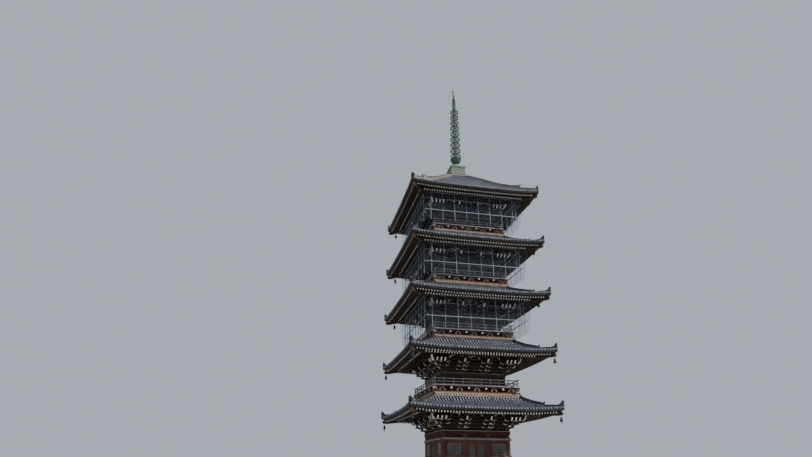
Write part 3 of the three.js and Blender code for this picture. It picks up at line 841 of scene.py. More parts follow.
def build_tiles(n, sizes):
    """Pans and rolls of one roof with their end tiles. Every tile is paler on its lower rim, and its sides
    take the dark pan finish: painted shade in the grooves, partly dirt."""
    reach = STOREYS[n]["reach"]
    piece = Piece(f"tiles_{n}", "roll", "pan", "lip", "pan_rim")
    places = spread(reach - EDGE_TILE, sizes.roll_spacing)
    gap = places[1] - places[0]
    for along in places:
        section = partial(roll_section, n, along)
        # The step under the next tile takes the dark pan finish: painted shadow under the overlap.
        add_tile_row(piece, n, sizes, along, 0.04, section, ("lip", "roll", "pan"))
        add_end_disc(piece, n, along, reach)
    for along in (places[:-1] + places[1:]) / 2:
        section = partial(pan_section, n, along, gap)
        add_tile_row(piece, n, sizes, along, 0.02, section, ("pan_rim", "pan", "pan"))
        add_pan_lip(piece, n, along, gap, reach)
    piece.build(turns=4)


def add_tile_row(piece, n, sizes, along, margin, section, finishes):
    """A row of tiles from the eave up to the hip or the top. section gives the points across a
    tile. finishes are those of a tile's rim, its back and the step under the next tile."""
    top = roof_slope(n)[0][0]
    end = max(top, abs(along) + margin)
    joints = np.arange(STOREYS[n]["reach"], top, -sizes.tile_length)
    starts = [r for r in joints if r > end + 0.06]
    rows, tones = [], []
    for low, high in zip(starts, [*starts[1:], end]):
        for share in (0, sizes.rim_share, 1):
            rows.append(section(low + (high - low) * share, share))
        tones.append(piece.chance.random())
    if not rows:
        return
    points, faces = strip(rows)
    wide = len(rows[0]) - 1
    finish, tone = [], []
    for i in range(len(faces)):
        # The outer faces of each roll and pan take the dark pan finish: painted shade in the grooves
        # between roll and pan, partly dirt.
        flank = i % wide in (0, wide - 1)
        band = i // wide
        finish.append("pan" if flank else finishes[band % 3])
        tone.append(tones[band // 3])
    piece.add(points, faces, finish, (0, 1, 0.4), tone, facing=UP)


def roll_section(n, along, r, share):
    """Points across a round tile, which narrows from its lower end up."""
    radius = 0.073 - 0.012 * share
    z = roof_height(n, r, along) + ROLL_LIFT
    turns = np.linspace(0, math.pi, 6)
    return [front(along + radius * math.cos(t), r, z + radius * math.sin(t)) for t in turns]


def pan_section(n, along, gap, r, share):
    """Points across a pan, whose lower end lies on the next one."""
    lift = 0.056 - 0.03 * share
    left, right = (roof_height(n, r, along + side * gap / 2) + lift + 0.03 for side in (-1, 1))
    bed = roof_height(n, r, along) + lift
    return [
        front(along - gap / 2, r, left),
        front(along - gap / 5, r, bed),
        front(along + gap / 5, r, bed),
        front(along + gap / 2, r, right),
    ]


def add_end_disc(piece, n, along, reach):
    """Round end tile with a raised rim and boss."""
    rim = [(0.064, 0.056), (0.09, 0.056), (0.09, -0.02)]
    profile = [(0.018, 0.052), (0.03, 0.044), (0.058, 0.044), *rim]
    z = roof_height(n, reach, along) + ROLL_LIFT
    piece.boss(profile, 12, along, reach, z, grain=(0, 1, 0))


def add_pan_lip(piece, n, along, gap, reach):
    """Hanging lip of the pan tile at the eave."""
    upper, lower = [], []
    for share in np.linspace(-1, 1, 7):
        x = along + share * gap / 2
        z = roof_height(n, reach, x) + 0.05 + 0.03 * share**2
        upper.append((x, z))
        lower.append((x, z - 0.105 + 0.02 * abs(x - along) / gap))
    piece.plate([*upper, *reversed(lower)], (0, -reach - 0.008, 0), 0.045, "pan_rim")


def hip_crest(n):
    """Top line of the hip ridge in two stages, the upper one first: half width and height."""
    reach = STOREYS[n]["reach"]
    eave = STOREYS[n]["eave"]
    if n == 5:
        upper = [(4.96, 1.57), (4.44, 1.74), (3.29, 2.5), (2.1, 3.52), (0.89, 4.46)]
        lower = [(reach - 0.1, 0.93), (reach - 0.28, 0.78), (5.8, 0.86), (5.35, 1.1), (4.9, 1.36)]
    else:
        half, low, _ = SHOULDERS[n]
        upper = [(5.3, 0.84), (4.5, 1.16), (half - 0.1, low - eave + 0.3)]
        lower = [(reach - 0.1, 0.84), (reach - 0.3, 0.66), (6.0, 0.6), (5.6, 0.62), (5.24, 0.7)]
    return [[(r, eave + z) for r, z in sorted(line)] for line in (upper, lower)]


def build_ridges(n):
    """Hip ridges in two stages: courses of flat tiles under a round cap, with end ornaments."""
    # The top roof's ridges take the lighter ridge colour: painted sunlight.
    piece = Piece(f"hip_ridges_{n}", "top_ridge" if n == 5 else "ridge")
    for line, courses, end_size in zip(hip_crest(n), (5, 3), (0.2, 0.18)):
        steps = np.linspace(line[0][0], line[-1][0], 4 + 7 * len(line))
        crest = [(r, curve(line, r)) for r in steps]
        for inner, outer in zip(crest[:-1], crest[1:]):
            for course in range(courses):
                add_ridge_course(piece, n, inner, outer, course, courses)
        add_ridge_cap(piece, line, crest)
        add_ridge_end(piece, line[-1], end_size, roof_height(n, line[-1][0], line[-1][0]))
    piece.build(turns=4)


def add_ridge_course(piece, n, inner, outer, course, courses):
    """One flat tile of a ridge between two places on its line."""
    half = 0.2 if course == courses - 1 else 0.185 - 0.008 * course
    foot, head = [], []
    for r, z in (inner, outer):
        low = roof_height(n, r, r) - 0.02
        cap = z - 0.07
        foot.append((r, low + (cap - low) * (course / courses)))
        head.append((r, low + (cap - low) * ((course + 1) / courses) - 0.012))
    quad = [*foot, *reversed(head)]
    sides = [[corner(r, side * half, z) for r, z in quad] for side in (-1, 1)]
    piece.add(*capped(sides), grain=CORNER_OUT)


def add_ridge_cap(piece, line, crest):
    """Round tiles along the top of a ridge, each wider at its outer end."""
    turns = np.linspace(0, math.pi, 7)
    length = (crest[1][0] - crest[0][0]) * 0.9
    sections = [place for r, _ in crest for place in ((r, 0.088), (r + length, 0.1))][:-1]
    rows = []
    for r, radius in sections:
        z = curve(line, min(r, line[-1][0])) - 0.08
        rows.append([corner(r, radius * math.cos(t), z + radius * math.sin(t)) for t in turns])
    tones = [piece.chance.random() for _ in crest]
    points, faces = strip(rows)
    tone = [tones[i // 12] for i in range(len(faces))]
    piece.add(points, faces, grain=CORNER_OUT, tone=tone, facing=UP)


def add_ridge_end(piece, crest, size, low):
    """Plain scrolled end tile with a round tile thrust out over it."""
    r, z = crest
    scroll = [(0.62, 0), (0.651, 0.3), (0.496, 0.5), (0.589, 0.75), (0.31, 1.02)]
    scroll = [(size * x, size * z) for x, z in scroll]
    left = [(-x, z) for x, z in scroll]
    outline = [left[0], *scroll, (0, size * 1.2), *reversed(left[1:])]
    base = max(low - 0.02, z - size * 1.05)
    out = np.array(CORNER_OUT)
    points, faces = extrude(outline, corner(r + 0.03, 0, base), CORNER_ACROSS, UP, out * 0.04)
    piece.add(points, faces)
    turn = np.arange(12) * math.pi / 6
    circle = np.outer(np.cos(turn), CORNER_ACROSS) + np.outer(np.sin(turn), UP)
    boss = []
    for radius, proud in ((0.5, 0.04), (0.46, 0.07), (0.3, 0.08), (0.24, 0.05), (0.1, 0.1)):
        centre = np.array(corner(r + 0.03 + proud * 0.45, 0, base + size * 0.5))
        boss.append(centre + circle * size * radius)
    piece.add(*capped(boss))
    path = [corner(r - 0.05, 0, z - 0.05), corner(r + 0.04, 0, z), corner(r + 0.09, 0, z + 0.07)]
    piece.add(*tube(path, [0.075, 0.08, 0.08], 12), grain=CORNER_OUT)


def build_shoulder(n, sizes):
    """Courses of flat tile and a mortar line, where a roof meets the balcony above it."""
    half, low, high = SHOULDERS[n]
    piece = Piece(f"shoulder_{n}", "course" if n == 1 else "ridge", "plaster")
    line = high - 0.1
    courses = 3
    for course in range(courses):
        z0 = low + (line - low) * course / courses
        z1 = low + (line - low) * (course + 1) / courses - 0.012
        out = half + 0.03 - 0.008 * course
        for along in np.arange(-out, out - 0.05, 0.36):
            end = min(along + 0.352, out)
            piece.bar(along, end, out - 0.06, (z0 + z1) / 2, 0.12, z1 - z0)
    edge, middle = half + 0.04, (line + high) / 2
    piece.bar(-edge, edge, half - 0.02, middle, 0.12, high - line - 0.01, "plaster")
    if n == 1:
        add_half_moons(piece, sizes)
    piece.build(turns=4)


def add_half_moons(piece, sizes):
    """Half-moons of plaster at the foot of the courses on the lowest roof."""
    half, low, _ = SHOULDERS[1]
    moon = [(0.09 * math.cos(t), 0.2 * math.sin(t)) for t in np.linspace(0, math.pi, 8)]
    places = spread(STOREYS[1]["reach"] - EDGE_TILE, sizes.roll_spacing)
    for along in (places[:-1] + places[1:]) / 2:
        if abs(along) < half - 0.12:
            piece.plate(moon, front(along, half + 0.05, low + 0.05), 0.06, "plaster")


# Eaves


def build_rafters(n, sizes):
    """Boarding, two rows of rafters with painted ends, eave boards and hip rafters."""
    piece = Piece(f"rafters_{n}", "timber", "painted_end", "hip_end", "timber_deep")
    add_eave_boards(piece, n)
    add_rafter_rows(piece, n, sizes)
    add_hip_rafter(piece, n)
    made = piece.build(turns=4)
    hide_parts(f"eaves_{n}")


def add_eave_boards(piece, n):
    """Boards over both rows of rafters, the bearer of the upper row and the boards at the tips.
    Each follows the corner rise."""
    tip, reach = rafter_tip(n), STOREYS[n]["reach"]
    end = RAFTER_END

    def over_lower(r, along):
        return rafter_under(n, r, along) + RAFTER_DEEP + 0.04

    def bearer(r, along):
        return flying_under(n, r, along) + 0.01

    def over_upper(r, along):
        return flying_under(n, r, along) + FLYING_DEEP + 0.03

    def tip_board(r, along):
        return flying_under(n, tip, along) + 0.185

    def tile_batten(r, along):
        return roof_height(n, reach, along * reach / r) - 0.12

    # The boards over both rows of rafters take the darker timber_deep: painted shade in the gaps between
    # the rafters.
    boards = (
        (RAFTER_INNER, end - 0.04, over_lower, 0.05, "timber_deep"),
        (end - 0.16, end - 0.04, bearer, 0.08, "timber"),
        (end - 0.1, tip + 0.02, over_upper, 0.04, "timber_deep"),
        (tip - 0.1, tip + 0.06, tip_board, 0.07, "timber"),
        (tip - 0.02, reach - 0.07, tile_batten, 0.06, "timber"),
    )
    for r0, r1, level, thick, finish in boards:
        rows = []
        for share in np.linspace(-1, 1, 13):
            z0, z1 = level(r0, share * r0), level(r1, share * r1)
            ring = ((r0, z0), (r1, z1), (r1, z1 - thick), (r0, z0 - thick))
            rows.append([front(share * r, r, z) for r, z in ring])
        piece.add(*capped(rows), finish, ACROSS)


def add_rafter_rows(piece, n, sizes):
    """The lower rafters, and the upper ones, which are thinner."""
    tip, wall, width = rafter_tip(n), STOREYS[n]["wall"], sizes.rafter_width
    for along in spread(RAFTER_END - 0.14, sizes.rafter_spacing):
        start, end = max(wall - 0.1, abs(along) + 0.16), RAFTER_END + 0.01
        if start < end - 0.1:
            level = partial(rafter_under, n, along=along)
            add_rafter(piece, along, start, end, level, width, RAFTER_DEEP, RAFTER_SLOPE)
    for along in spread(tip - 0.12, sizes.rafter_spacing):
        start = max(RAFTER_END - 0.14, abs(along) + 0.14)
        if start < tip - 0.05:
            level = partial(flying_under, n, along=along)
            add_rafter(piece, along, start, tip + 0.01, level, width * 0.92, FLYING_DEEP, FLYING_SLOPE)


def add_rafter(piece, along, start, end, under, wide, deep, slope):
    """One rafter with painted ends, whose underside is at the height that under gives."""
    ends = [front(along, r, under(r) + deep / 2) for r in (start, end)]
    piece.add(*beam(*ends, wide, deep), with_ends("timber", "painted_end"), (0, -1, -slope))


def add_hip_rafter(piece, n):
    """The purlin under the lower rafters and the hip rafter with its cut end."""
    wall, eave, tip = STOREYS[n]["wall"], STOREYS[n]["eave"], rafter_tip(n)
    purlin = wall + PURLIN_OUT
    z0, z1 = eave + 0.07, rafter_under(n, purlin + 0.09) + 0.01
    piece.bar(-purlin, purlin + 0.09, purlin, (z0 + z1) / 2, 0.18, z1 - z0)
    hip = [
        (wall - 0.1, rafter_under(n, wall - 0.1) + 0.1),
        (wall - 0.1, rafter_under(n, wall - 0.1) - 0.14),
        (purlin, eave + 0.09),
        (RAFTER_END, eave - 0.21),
        (tip - 0.1, eave - 0.26),
        (tip + 0.1, eave - 0.22),
        (tip + 0.16, eave - 0.12),
        (tip + 0.12, eave + 0.05),
        (RAFTER_END, rafter_over(n, RAFTER_END, RAFTER_END) - 0.03),
    ]
    points, faces = extrude(hip, (0, 0, 0), CORNER_OUT, UP, np.array(CORNER_ACROSS) * 0.22)
    finish = ["hip_end" if i in (4, 5, 6) else "timber" for i in range(len(faces))]
    piece.add(points, faces, finish, CORNER_OUT)


# Brackets


def add_square_stack(piece, centre, levels, finish=None, grain=ACROSS):
    """Solid with square sections. Each level is half a side and a height."""
    x, y, z = centre
    square = ((-1, -1), (1, -1), (1, 1), (-1, 1))
    rows = [[(x + i * half, y + j * half, z + level) for i, j in square] for half, level in levels]
    piece.add(*capped(rows), finish, grain)


def bearing_block(piece, centre, size, height, finish=None):
    """Square bearing block whose lower half tapers in."""
    half = size / 2
    add_square_stack(piece, centre, ((size * 0.36, 0), (half, height * 0.45), (half, height)), finish)


def bracket_arm(piece, centre, direction, length, width, height, ends):
    """Arm with a flat top whose underside curves up to its ends, painted along both curves."""
    half = length / 2
    reach = min(0.3, half * 0.7)
    curved = [(half - reach, 0), (half - reach * 0.5, 0.12), (half - reach * 0.18, 0.36), (half, 0.66)]
    lower = [(s, height * z) for s, z in curved]
    outline = [*[(-s, z) for s, z in lower], (-half, height), (half, height), *reversed(lower)]
    direction = np.array(direction, float)
    direction /= np.linalg.norm(direction)
    across = np.cross(direction, UP)
    points, faces = extrude(outline, centre, direction, UP, across * width)
    finish = [ends if i in (2, 3, 5, 6) else "timber" for i in range(len(faces))]
    piece.add(points, faces, finish, direction)
    edge = [(0, 0.03), (-0.008, 0.03), (-0.02, 0.024), (-0.03, 0.01)]
    inner = [(s + ds, z + dz) for (s, z), (ds, dz) in zip(lower, edge)]
    hook = [*lower, (half, height - 0.002), (half - 0.03, height - 0.002), *reversed(inner)]
    for side in (-1, 1):
        outline = [(side * s, z) for s, z in hook]
        points, faces = extrude(outline, centre, direction, UP, across * (width + 0.014))
        piece.add(points, faces, ends, direction)


class BracketLines:
    """Heights and half widths that the parts of one storey's bracket sets share."""

    def __init__(self, n):
        self.wall, self.eave = STOREYS[n]["wall"], STOREYS[n]["eave"]
        self.column = column_line(n)
        self.head = self.eave - HEAD_DEPTH
        self.first = self.wall + STEP
        self.second = self.wall + 2 * STEP
        self.purlin = self.wall + PURLIN_OUT
        self.board_top = rafter_under(n, self.wall + 0.08) - 0.02
        # Under the nets the bracket ends take the chipped, dimmer paint: painted shade of the nets and
        # eaves.
        self.ends = "worn_edge" if n in NETTED else "painted_end"

    def tier(self, k):
        """Foot of the arms of one tier."""
        return self.head + 0.2 + TIER * k


def build_brackets(n):
    """Three-step bracket sets with tail rafters, their beams and the struts between them."""
    piece = Piece(f"bracket_sets_{n}", "timber", "painted_end", "worn_edge", "timber_deep")
    at = BracketLines(n)
    for along in (-at.column, at.column):
        add_column_set(piece, at, along)
    add_corner_set(piece, at)
    add_bracket_beams(piece, at)
    add_bay_struts(piece, at)
    add_coving(piece, at)
    made = piece.build(turns=4)
    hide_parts(f"brackets_{n}")


def add_column_set(piece, at, along):
    """The set over one inner column: arms along the wall and outwards, a tail rafter and the arm
    under the purlin."""
    bearing_block(piece, front(along, at.wall, at.head), 0.34, 0.22)
    for k in range(3):
        out, z = at.wall + k * STEP, at.tier(k)
        bracket_arm(piece, front(along, out, z), ACROSS, ARM_LONG, ARM_WIDE, ARM_HIGH, at.ends)
        for side in (-1, 0, 1):
            spot = along + side * (ARM_LONG / 2 - 0.1)
            bearing_block(piece, front(spot, out, z + ARM_HIGH), 0.19, BLOCK_HIGH)
    for k in range(2):
        inner, outer = at.wall - 0.1, at.wall + (k + 1) * STEP + 0.16
        middle = front(along, (inner + outer) / 2, at.tier(k))
        bracket_arm(piece, middle, OUT, outer - at.wall + 0.1, ARM_WIDE, ARM_HIGH, at.ends)
    add_tail(piece, at, OUT, (along, 0, 0), ACROSS)
    spot = front(along, at.purlin, at.eave - 0.16)
    bracket_arm(piece, spot, ACROSS, 0.9, ARM_WIDE, 0.13, "worn_edge")
    for side in (-1, 1):
        spot = front(along + side * 0.36, at.purlin, at.eave - 0.04)
        bearing_block(piece, spot, 0.18, 0.1)


def add_corner_set(piece, at):
    """The set on the corner: arms along both sides, a longer one on the diagonal, and the
    through-ends of the beams of the other side."""
    bearing_block(piece, front(at.wall, at.wall, at.head), 0.36, 0.22)
    for k in range(3):
        out, z = at.wall + STEP * k, at.tier(k)
        if k:
            add_corner_arm(piece, at, (at.wall + 0.02, -out, z), ACROSS)
            add_corner_arm(piece, at, (out, -at.wall - 0.02, z), (0, 1, 0))
        if k < 2:
            start = np.array(corner(at.wall - 0.1, 0, z))
            end = np.array(corner(out + STEP + 0.12, 0, z))
            length = np.linalg.norm(end - start)
            bracket_arm(piece, (start + end) / 2, CORNER_OUT, length, 0.17, ARM_HIGH, at.ends)
            bearing_block(piece, corner(out + STEP, 0, z + ARM_HIGH), 0.22, BLOCK_HIGH)
    for out, across in ((OUT, ACROSS), ((1, 0, 0), (0, -1, 0))):
        for k in range(3):
            origin = np.array(across) * (at.wall + 0.04 + 0.36 * k)
            add_tail(piece, at, out, origin, across)
    add_tail(piece, at, CORNER_OUT, (0, 0, 0), CORNER_ACROSS, 0.17, tall=0.42)
    post_block = ((0.08, 0), (0.13, 0.08), (0.13, 0.18))
    add_square_stack(piece, corner(at.purlin + 0.02, 0, at.eave - 0.14), post_block, grain=UP)


def add_corner_arm(piece, at, spot, direction):
    """An arm along one side of the corner, with a block near each end."""
    bracket_arm(piece, spot, direction, ARM_LONG, ARM_WIDE, ARM_HIGH, at.ends)
    for side in (-1, 1):
        block = np.array(spot) + np.array(direction) * side * 0.42
        bearing_block(piece, block + (0, 0, ARM_HIGH), 0.19, BLOCK_HIGH)


def add_bracket_beams(piece, at):
    """Beams round the building: four on the wall line with a board behind them, and those on
    the steps."""
    beams = [(at.wall, at.tier(k), at.tier(k) + ARM_HIGH, 0.12, "timber") for k in range(4)]
    beams += [
        (at.wall - 0.03, at.head + 0.01, at.board_top, 0.04, "timber_deep"),
        (at.first, at.tier(2), at.tier(2) + 0.13, 0.11, "timber"),
        (at.second, at.tier(3), at.tier(3) + 0.09, 0.11, "timber"),
        (at.second, at.eave + 0.06, at.eave + 0.14, 0.1, "timber"),
    ]
    for out, z0, z1, thick, finish in beams:
        piece.bar(-out, out + thick / 2, out, (z0 + z1) / 2, thick, z1 - z0, finish)


def add_bay_struts(piece, at):
    """Struts in the middle of each bay: short ones on the wall line, spreading ones further out."""
    middle = (at.column + at.wall) / 2
    for along in (-middle, 0, middle):
        strut = [(-0.1, 0), (0.1, 0), (0.05, 0.2), (-0.05, 0.2)]
        piece.plate(strut, front(along, at.wall + 0.07, at.head), 0.05, grain=UP)
        bearing_block(piece, front(along, at.wall + 0.04, at.head + 0.2), 0.18, 0.1)
        foot = front(along, at.second, at.tier(3) + 0.09)
        add_spread_strut(piece, foot, 0.44, 0.3, 0.09, "worn_edge")


def add_coving(piece, at):
    """Ribbed coving between the steps."""
    for along in np.arange(-at.first, at.first + 0.01, 0.3):
        if abs(along) < at.first:
            path = [
                front(along, at.first, at.tier(2) + 0.14),
                front(along, at.wall + 1.45 * STEP, at.tier(2) + 0.2),
                front(along, at.second, at.tier(3) + 0.06),
            ]
            piece.add(*tube(path, 0.03, 4), grain=(0, -1, 0.3))


def add_spread_strut(piece, foot, half, tall, deep, finish):
    """Strut with two spread legs over a curved arch."""
    arch, back = [], []
    for t in np.linspace(-1, 1, 9):
        arch.append((half * 0.78 * t, tall * 0.72 * (1 - t * t) ** 0.5))
        back.append((half * (t + 0.12 * np.sign(t) * t * t), tall * (1 - 0.62 * abs(t) ** 2.2)))
    piece.plate([*arch, (half, 0.02), *reversed(back), (-half, 0.02)], foot, deep, finish)


def add_tail(piece, at, out, origin, across, width=0.13, tall=0.27):
    """Tail rafter that slants out and down, with a painted end cut back underneath."""
    end, tip = at.eave - 0.54, at.wall + TAIL_OUT
    outline = [
        (at.wall, at.eave + 0.34),
        (at.wall, at.eave + 0.02),
        (tip - 0.24, end),
        (tip - 0.1, end + tall * 0.35),
        (tip, end + tall),
        (tip - 0.24, max(end + tall, at.eave + 0.02)),
    ]
    points, faces = extrude(outline, origin, out, UP, np.array(across) * width)
    finish = ["painted_end" if i in (2, 3) else "timber" for i in range(len(faces))]
    piece.add(points, faces, finish, (*np.array(out[:2]) * 0.95, -0.3))


# Balconies


def build_balcony(n):
    """Boards on the foot of a balcony, its arms and struts, and the edge of its deck."""
    boards = "pale_board" if n == 2 else "board"
    piece = Piece(f"balcony_carving_{n}", "carved", "painted_end", boards, "timber", "deck_edge")
    deck_low = STOREYS[n]["floor"] - DECK
    add_foot_boards(piece, n, deck_low, boards)
    add_balcony_arms(piece, n, deck_low)
    add_deck_edge(piece, n, deck_low)
    piece.build(turns=4)


def add_foot_boards(piece, n, deck_low, boards):
    """Upright boards on the foot, under a rail."""
    half, top = STOREYS[n]["balcony"], deck_low - 0.4
    low = SHOULDERS[n - 1][2] + 0.01
    for along in np.arange(-half, half - 0.05, 0.3):
        end = min(along + 0.29, half)
        ends = [front((along + end) / 2, half - 0.005, z) for z in (low, top)]
        piece.add(*beam(*ends, end - along, 0.05, up=OUT), boards, UP)
    piece.bar(-half - 0.03, half + 0.03, half, top + 0.015, 0.07, 0.06, "timber")


def add_balcony_arms(piece, n, deck_low):
    """Stepped arms that carry the deck, with a strut in each gap."""
    half = STOREYS[n]["balcony"]
    base = half - 0.62
    for along in (share * half for share in (-0.6, -0.2, 0.2, 0.6)):
        add_arm(piece, front(along, 0, deck_low), OUT, ACROSS, half, 0.14)
        bearing_block(piece, front(along, base + 0.16, deck_low - 0.31), 0.26, 0.12, "timber")
    add_arm(piece, (0, 0, deck_low), CORNER_OUT, CORNER_ACROSS, half, 0.18, under="painted_end")
    for along in (share * half for share in (-0.8, -0.4, 0, 0.4, 0.8)):
        foot = front(along, half - 0.16, deck_low - 0.385)
        add_spread_strut(piece, foot, 0.24, 0.37, 0.08, "carved")
    piece.bar(-base - 0.05, base, base + 0.02, deck_low - 0.05, 0.05, 0.08, "timber")


def add_deck_edge(piece, n, deck_low):
    """Edge beam of the deck with the ends of its boards."""
    half, floor = STOREYS[n]["balcony"], STOREYS[n]["floor"]
    z0, z1 = deck_low + 0.005, floor - 0.045
    edge = half - 0.03
    piece.bar(-half + 0.01, edge, edge, (z0 + z1) / 2, 0.08, z1 - z0, "timber")
    for along in np.arange(-half + 0.02, half - 0.1, 0.24):
        end = min(along + 0.232, half - 0.02)
        middle = (along + end) / 2
        inner = min(max(half - 0.9, abs(middle)), half - 0.05)
        ends = [front(middle, out, floor - 0.012) for out in (inner, half + 0.02)]
        piece.add(*beam(*ends, end - along, 0.05), "deck_edge", OUT)


def add_arm(piece, origin, out, across, half, width, under="timber"):
    """Bracket arm of a balcony, cut with a curve below and painted on its tip."""
    base, tip = half - 0.67, half + 0.02
    outline = [
        (base, -0.37),
        (base + 0.21, -0.35),
        (base + 0.35, -0.27),
        (tip - 0.1, -0.24),
        (tip, -0.17),
        (tip, -0.06),
        (tip - 0.05, -0.012),
        (base, -0.012),
    ]
    points, faces = extrude(outline, origin, out, UP, np.array(across) * width)
    edges = ["timber", "timber", "timber", under, "painted_end", "timber", "carved", "timber"]
    piece.add(points, faces, [*edges, "carved", "carved"], out)


def build_railing(n):
    """Balustrade with a round top rail, a flat middle rail, a ground rail and short posts."""
    floor, half = STOREYS[n]["floor"], STOREYS[n]["balcony"] - 0.14
    top, middle = floor + 0.555, floor + 0.3
    piece = Piece(f"balustrade_{n}", "weathered", "iron")
    lift, tip = 0.05, half + 0.2
    swept = [(-tip, lift), (-tip + 0.14, lift * 0.35), (-half, 0)]
    swept += [(half, 0), (tip - 0.14, lift * 0.35), (tip, lift)]
    piece.add(*tube([front(x, half, top + z) for x, z in swept], 0.044, 10), grain=ACROSS)
    for z, wide, high in ((middle, 0.06, 0.075), (floor + 0.055, 0.1, 0.1)):
        piece.bar(-half - 0.14, half + 0.14, half, z, wide, high)
    collar, sides = lathe([(0.075, -0.02), (0.08, 0.0), (0.075, 0.02)], 8)
    for along in np.linspace(-half, half, 10)[:-1]:
        major = abs(abs(along) - half) < 0.01 or abs(abs(along) - half / 3) < 0.01
        wide = 0.085 if major else 0.06
        piece.post(along, half, floor + 0.1, top - 0.03, wide, wide)
        bearing_block(piece, front(along, half, top - 0.1), 0.12, 0.075)
        if major:
            for z in (floor + 0.06, middle):
                piece.add(collar + np.array(front(along, half, z + 0.07)), sides, "iron")
    made = piece.build(turns=4)
    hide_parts(f"railing_{n}")


# Walls


def build_upper_wall(n):
    """Columns, rails, doors and slatted windows of an upper storey."""
    wall, floor = STOREYS[n]["wall"], STOREYS[n]["floor"]
    line = column_line(n)
    head = STOREYS[n]["eave"] - HEAD_DEPTH
    high = head - BEAM
    finishes = ("timber", "door_wood", "weathered", "iron", "timber_deep", "door_panel")
    piece = Piece(f"wall_joinery_{n}", *finishes)

    columns = ((-line, -wall - 0.01, 0.15), (line, -wall - 0.01, 0.15), (wall, -wall, 0.16))
    for x, y, radius in columns:
        piece.add(*lathe([(radius, floor + 0.01), (radius, high)], 16, (x, y)))

    rails = (
        (floor + 0.01, 0.13, 0.2, "timber"),
        (high + 0.02, 0.2, 0.18, "timber"),
        (head - 0.05, 0.045, 0.21, "weathered"),
    )
    stud = [(0.045, -0.02), (0.05, 0), (0.03, 0.014), (0.01, 0.018)]
    for z, tall, proud, finish in rails:
        level, reach = z + tall / 2, wall + proud
        piece.bar(-reach, reach, reach - 0.05, level, 0.1, tall, finish)
        if finish == "timber":
            for along in (-line, line):
                piece.boss(stud, 6, along, reach, level, "iron")

    low, top = floor + 0.17, high - 0.05
    for sign in (-1, 1):
        meet, hinge = sign * 0.01, sign * (line - 0.17)
        add_leaf(piece, meet, hinge, low, top, wall + 0.05, 0.06)
    for sign in (-1, 1):
        x0, x1 = sorted((sign * (line + 0.26), sign * (wall - 0.28)))
        add_slats(piece, x0, x1, floor + 0.45, high - 0.1, wall + 0.08, "timber", "timber_deep")
    piece.build(turns=4)


def add_leaf(piece, x_meet, x_hinge, low, top, out, thick):
    """One door leaf's stiles, rails, sunk panels and straps, on the front side."""
    x0, x1 = sorted((x_meet, x_hinge))
    middle = (x0 + x1) / 2
    stile = 0.09
    rails = [low, low + (top - low) * 0.36, low + (top - low) * 0.52, top - stile]
    for x in (x0 + stile / 2, x1 - stile / 2):
        piece.post(x, out, low, top, stile, thick, "door_wood")
    for z in rails:
        piece.bar(x0 + stile, x1 - stile, out, z + stile / 2, thick * 0.9, stile, "door_wood")
    for rail, head in zip(rails[:-1], rails[1:]):
        foot = rail + stile
        sunk = out - thick * 0.3
        piece.post(middle, sunk, foot, head, x1 - x0 - 2 * stile, 0.012, "door_panel")
        half_wide, half_tall = (x1 - x0) / 2 - stile - 0.03, (head - foot) / 2 - 0.03
        field = []
        for inset, proud in ((0, thick * -0.16 - 0.012), (0.02, thick * 0.14)):
            wide, tall = half_wide - inset, half_tall - inset
            spots = ((-wide, -tall), (wide, -tall), (wide, tall), (-wide, tall))
            field.append([front(middle + x, out + proud, (foot + head) / 2 + z) for x, z in spots])
        piece.add(*capped(field), "door_panel")
    strap_end = x_hinge + (x_meet - x_hinge) * 0.3
    for z in rails:
        piece.bar(x_hinge, strap_end, out + thick * 0.5, z + stile / 2, 0.012, 0.05, "iron")


def add_slats(piece, x0, x1, z0, z1, out, finish, back=None):
    """A window frame with upright slats set on edge."""
    bar = 0.06
    for x in (x0, x1):
        piece.post(x, out, z0 - bar, z1 + bar, bar, 0.07, finish)
    for z in (z0 - bar / 2, z1 + bar / 2):
        piece.bar(x0, x1, out, z, 0.075, bar, finish)
    edge = 0.026
    square = ((-edge, 0), (0, -edge), (edge, 0), (0, edge))
    for x in spread((x1 - x0) / 2 - 0.06, 0.095) + (x0 + x1) / 2:
        ends = (z0 - 0.02, z1 + 0.02)
        piece.add(*capped([[front(x + i, out - 0.02 + j, z) for i, j in square] for z in ends]), finish)
    if back is not None:
        piece.post((x0 + x1) / 2, out - 0.055, z0, z1, x1 - x0, 0.02, back)


def build_first_walls():
    """Round columns, window slats, boards, frames and studs of the first storey."""
    wall = STOREYS[1]["wall"]
    top = STOREYS[1]["eave"] - HEAD_DEPTH - BEAM
    face = wall + 0.08
    finishes = ("red_timber", "door_wood", "weathered", "iron", "timber_deep", "slat_wood", "dark_red")
    piece = Piece("first_joinery", *finishes)
    for x in (-INNER_COLUMN, INNER_COLUMN, wall):
        profile = [(0.178, 1.53), (0.178, top - 0.3), (0.168, top - 0.01)]
        piece.add(*lathe(profile, 24, (x, -wall)))
    for sign in (-1, 1):
        add_window_bay(piece, sign, face, top)
    for x in spread(0.75, 0.25):
        piece.post(x, face, 4.44, top - 0.01, 0.238, 0.03, "dark_red")
    for z, tall in ((4.32, 0.13), (top + BEAM - 0.03, 0.045)):
        piece.bar(-wall - 0.23, wall + 0.23, wall + 0.2, z, 0.06, tall, "weathered")
    stud = [(0.06, -0.03), (0.065, 0), (0.045, 0.018), (0.015, 0.026)]
    for x in (-wall, -INNER_COLUMN, INNER_COLUMN, wall):
        for z in (4.29, 2.95, 1.63):
            in_doorway = abs(x) < 2 and z < 2.7
            if not in_doorway:
                piece.boss(stud, 6, x, wall + 0.2, z, "iron")
    piece.build(turns=4)


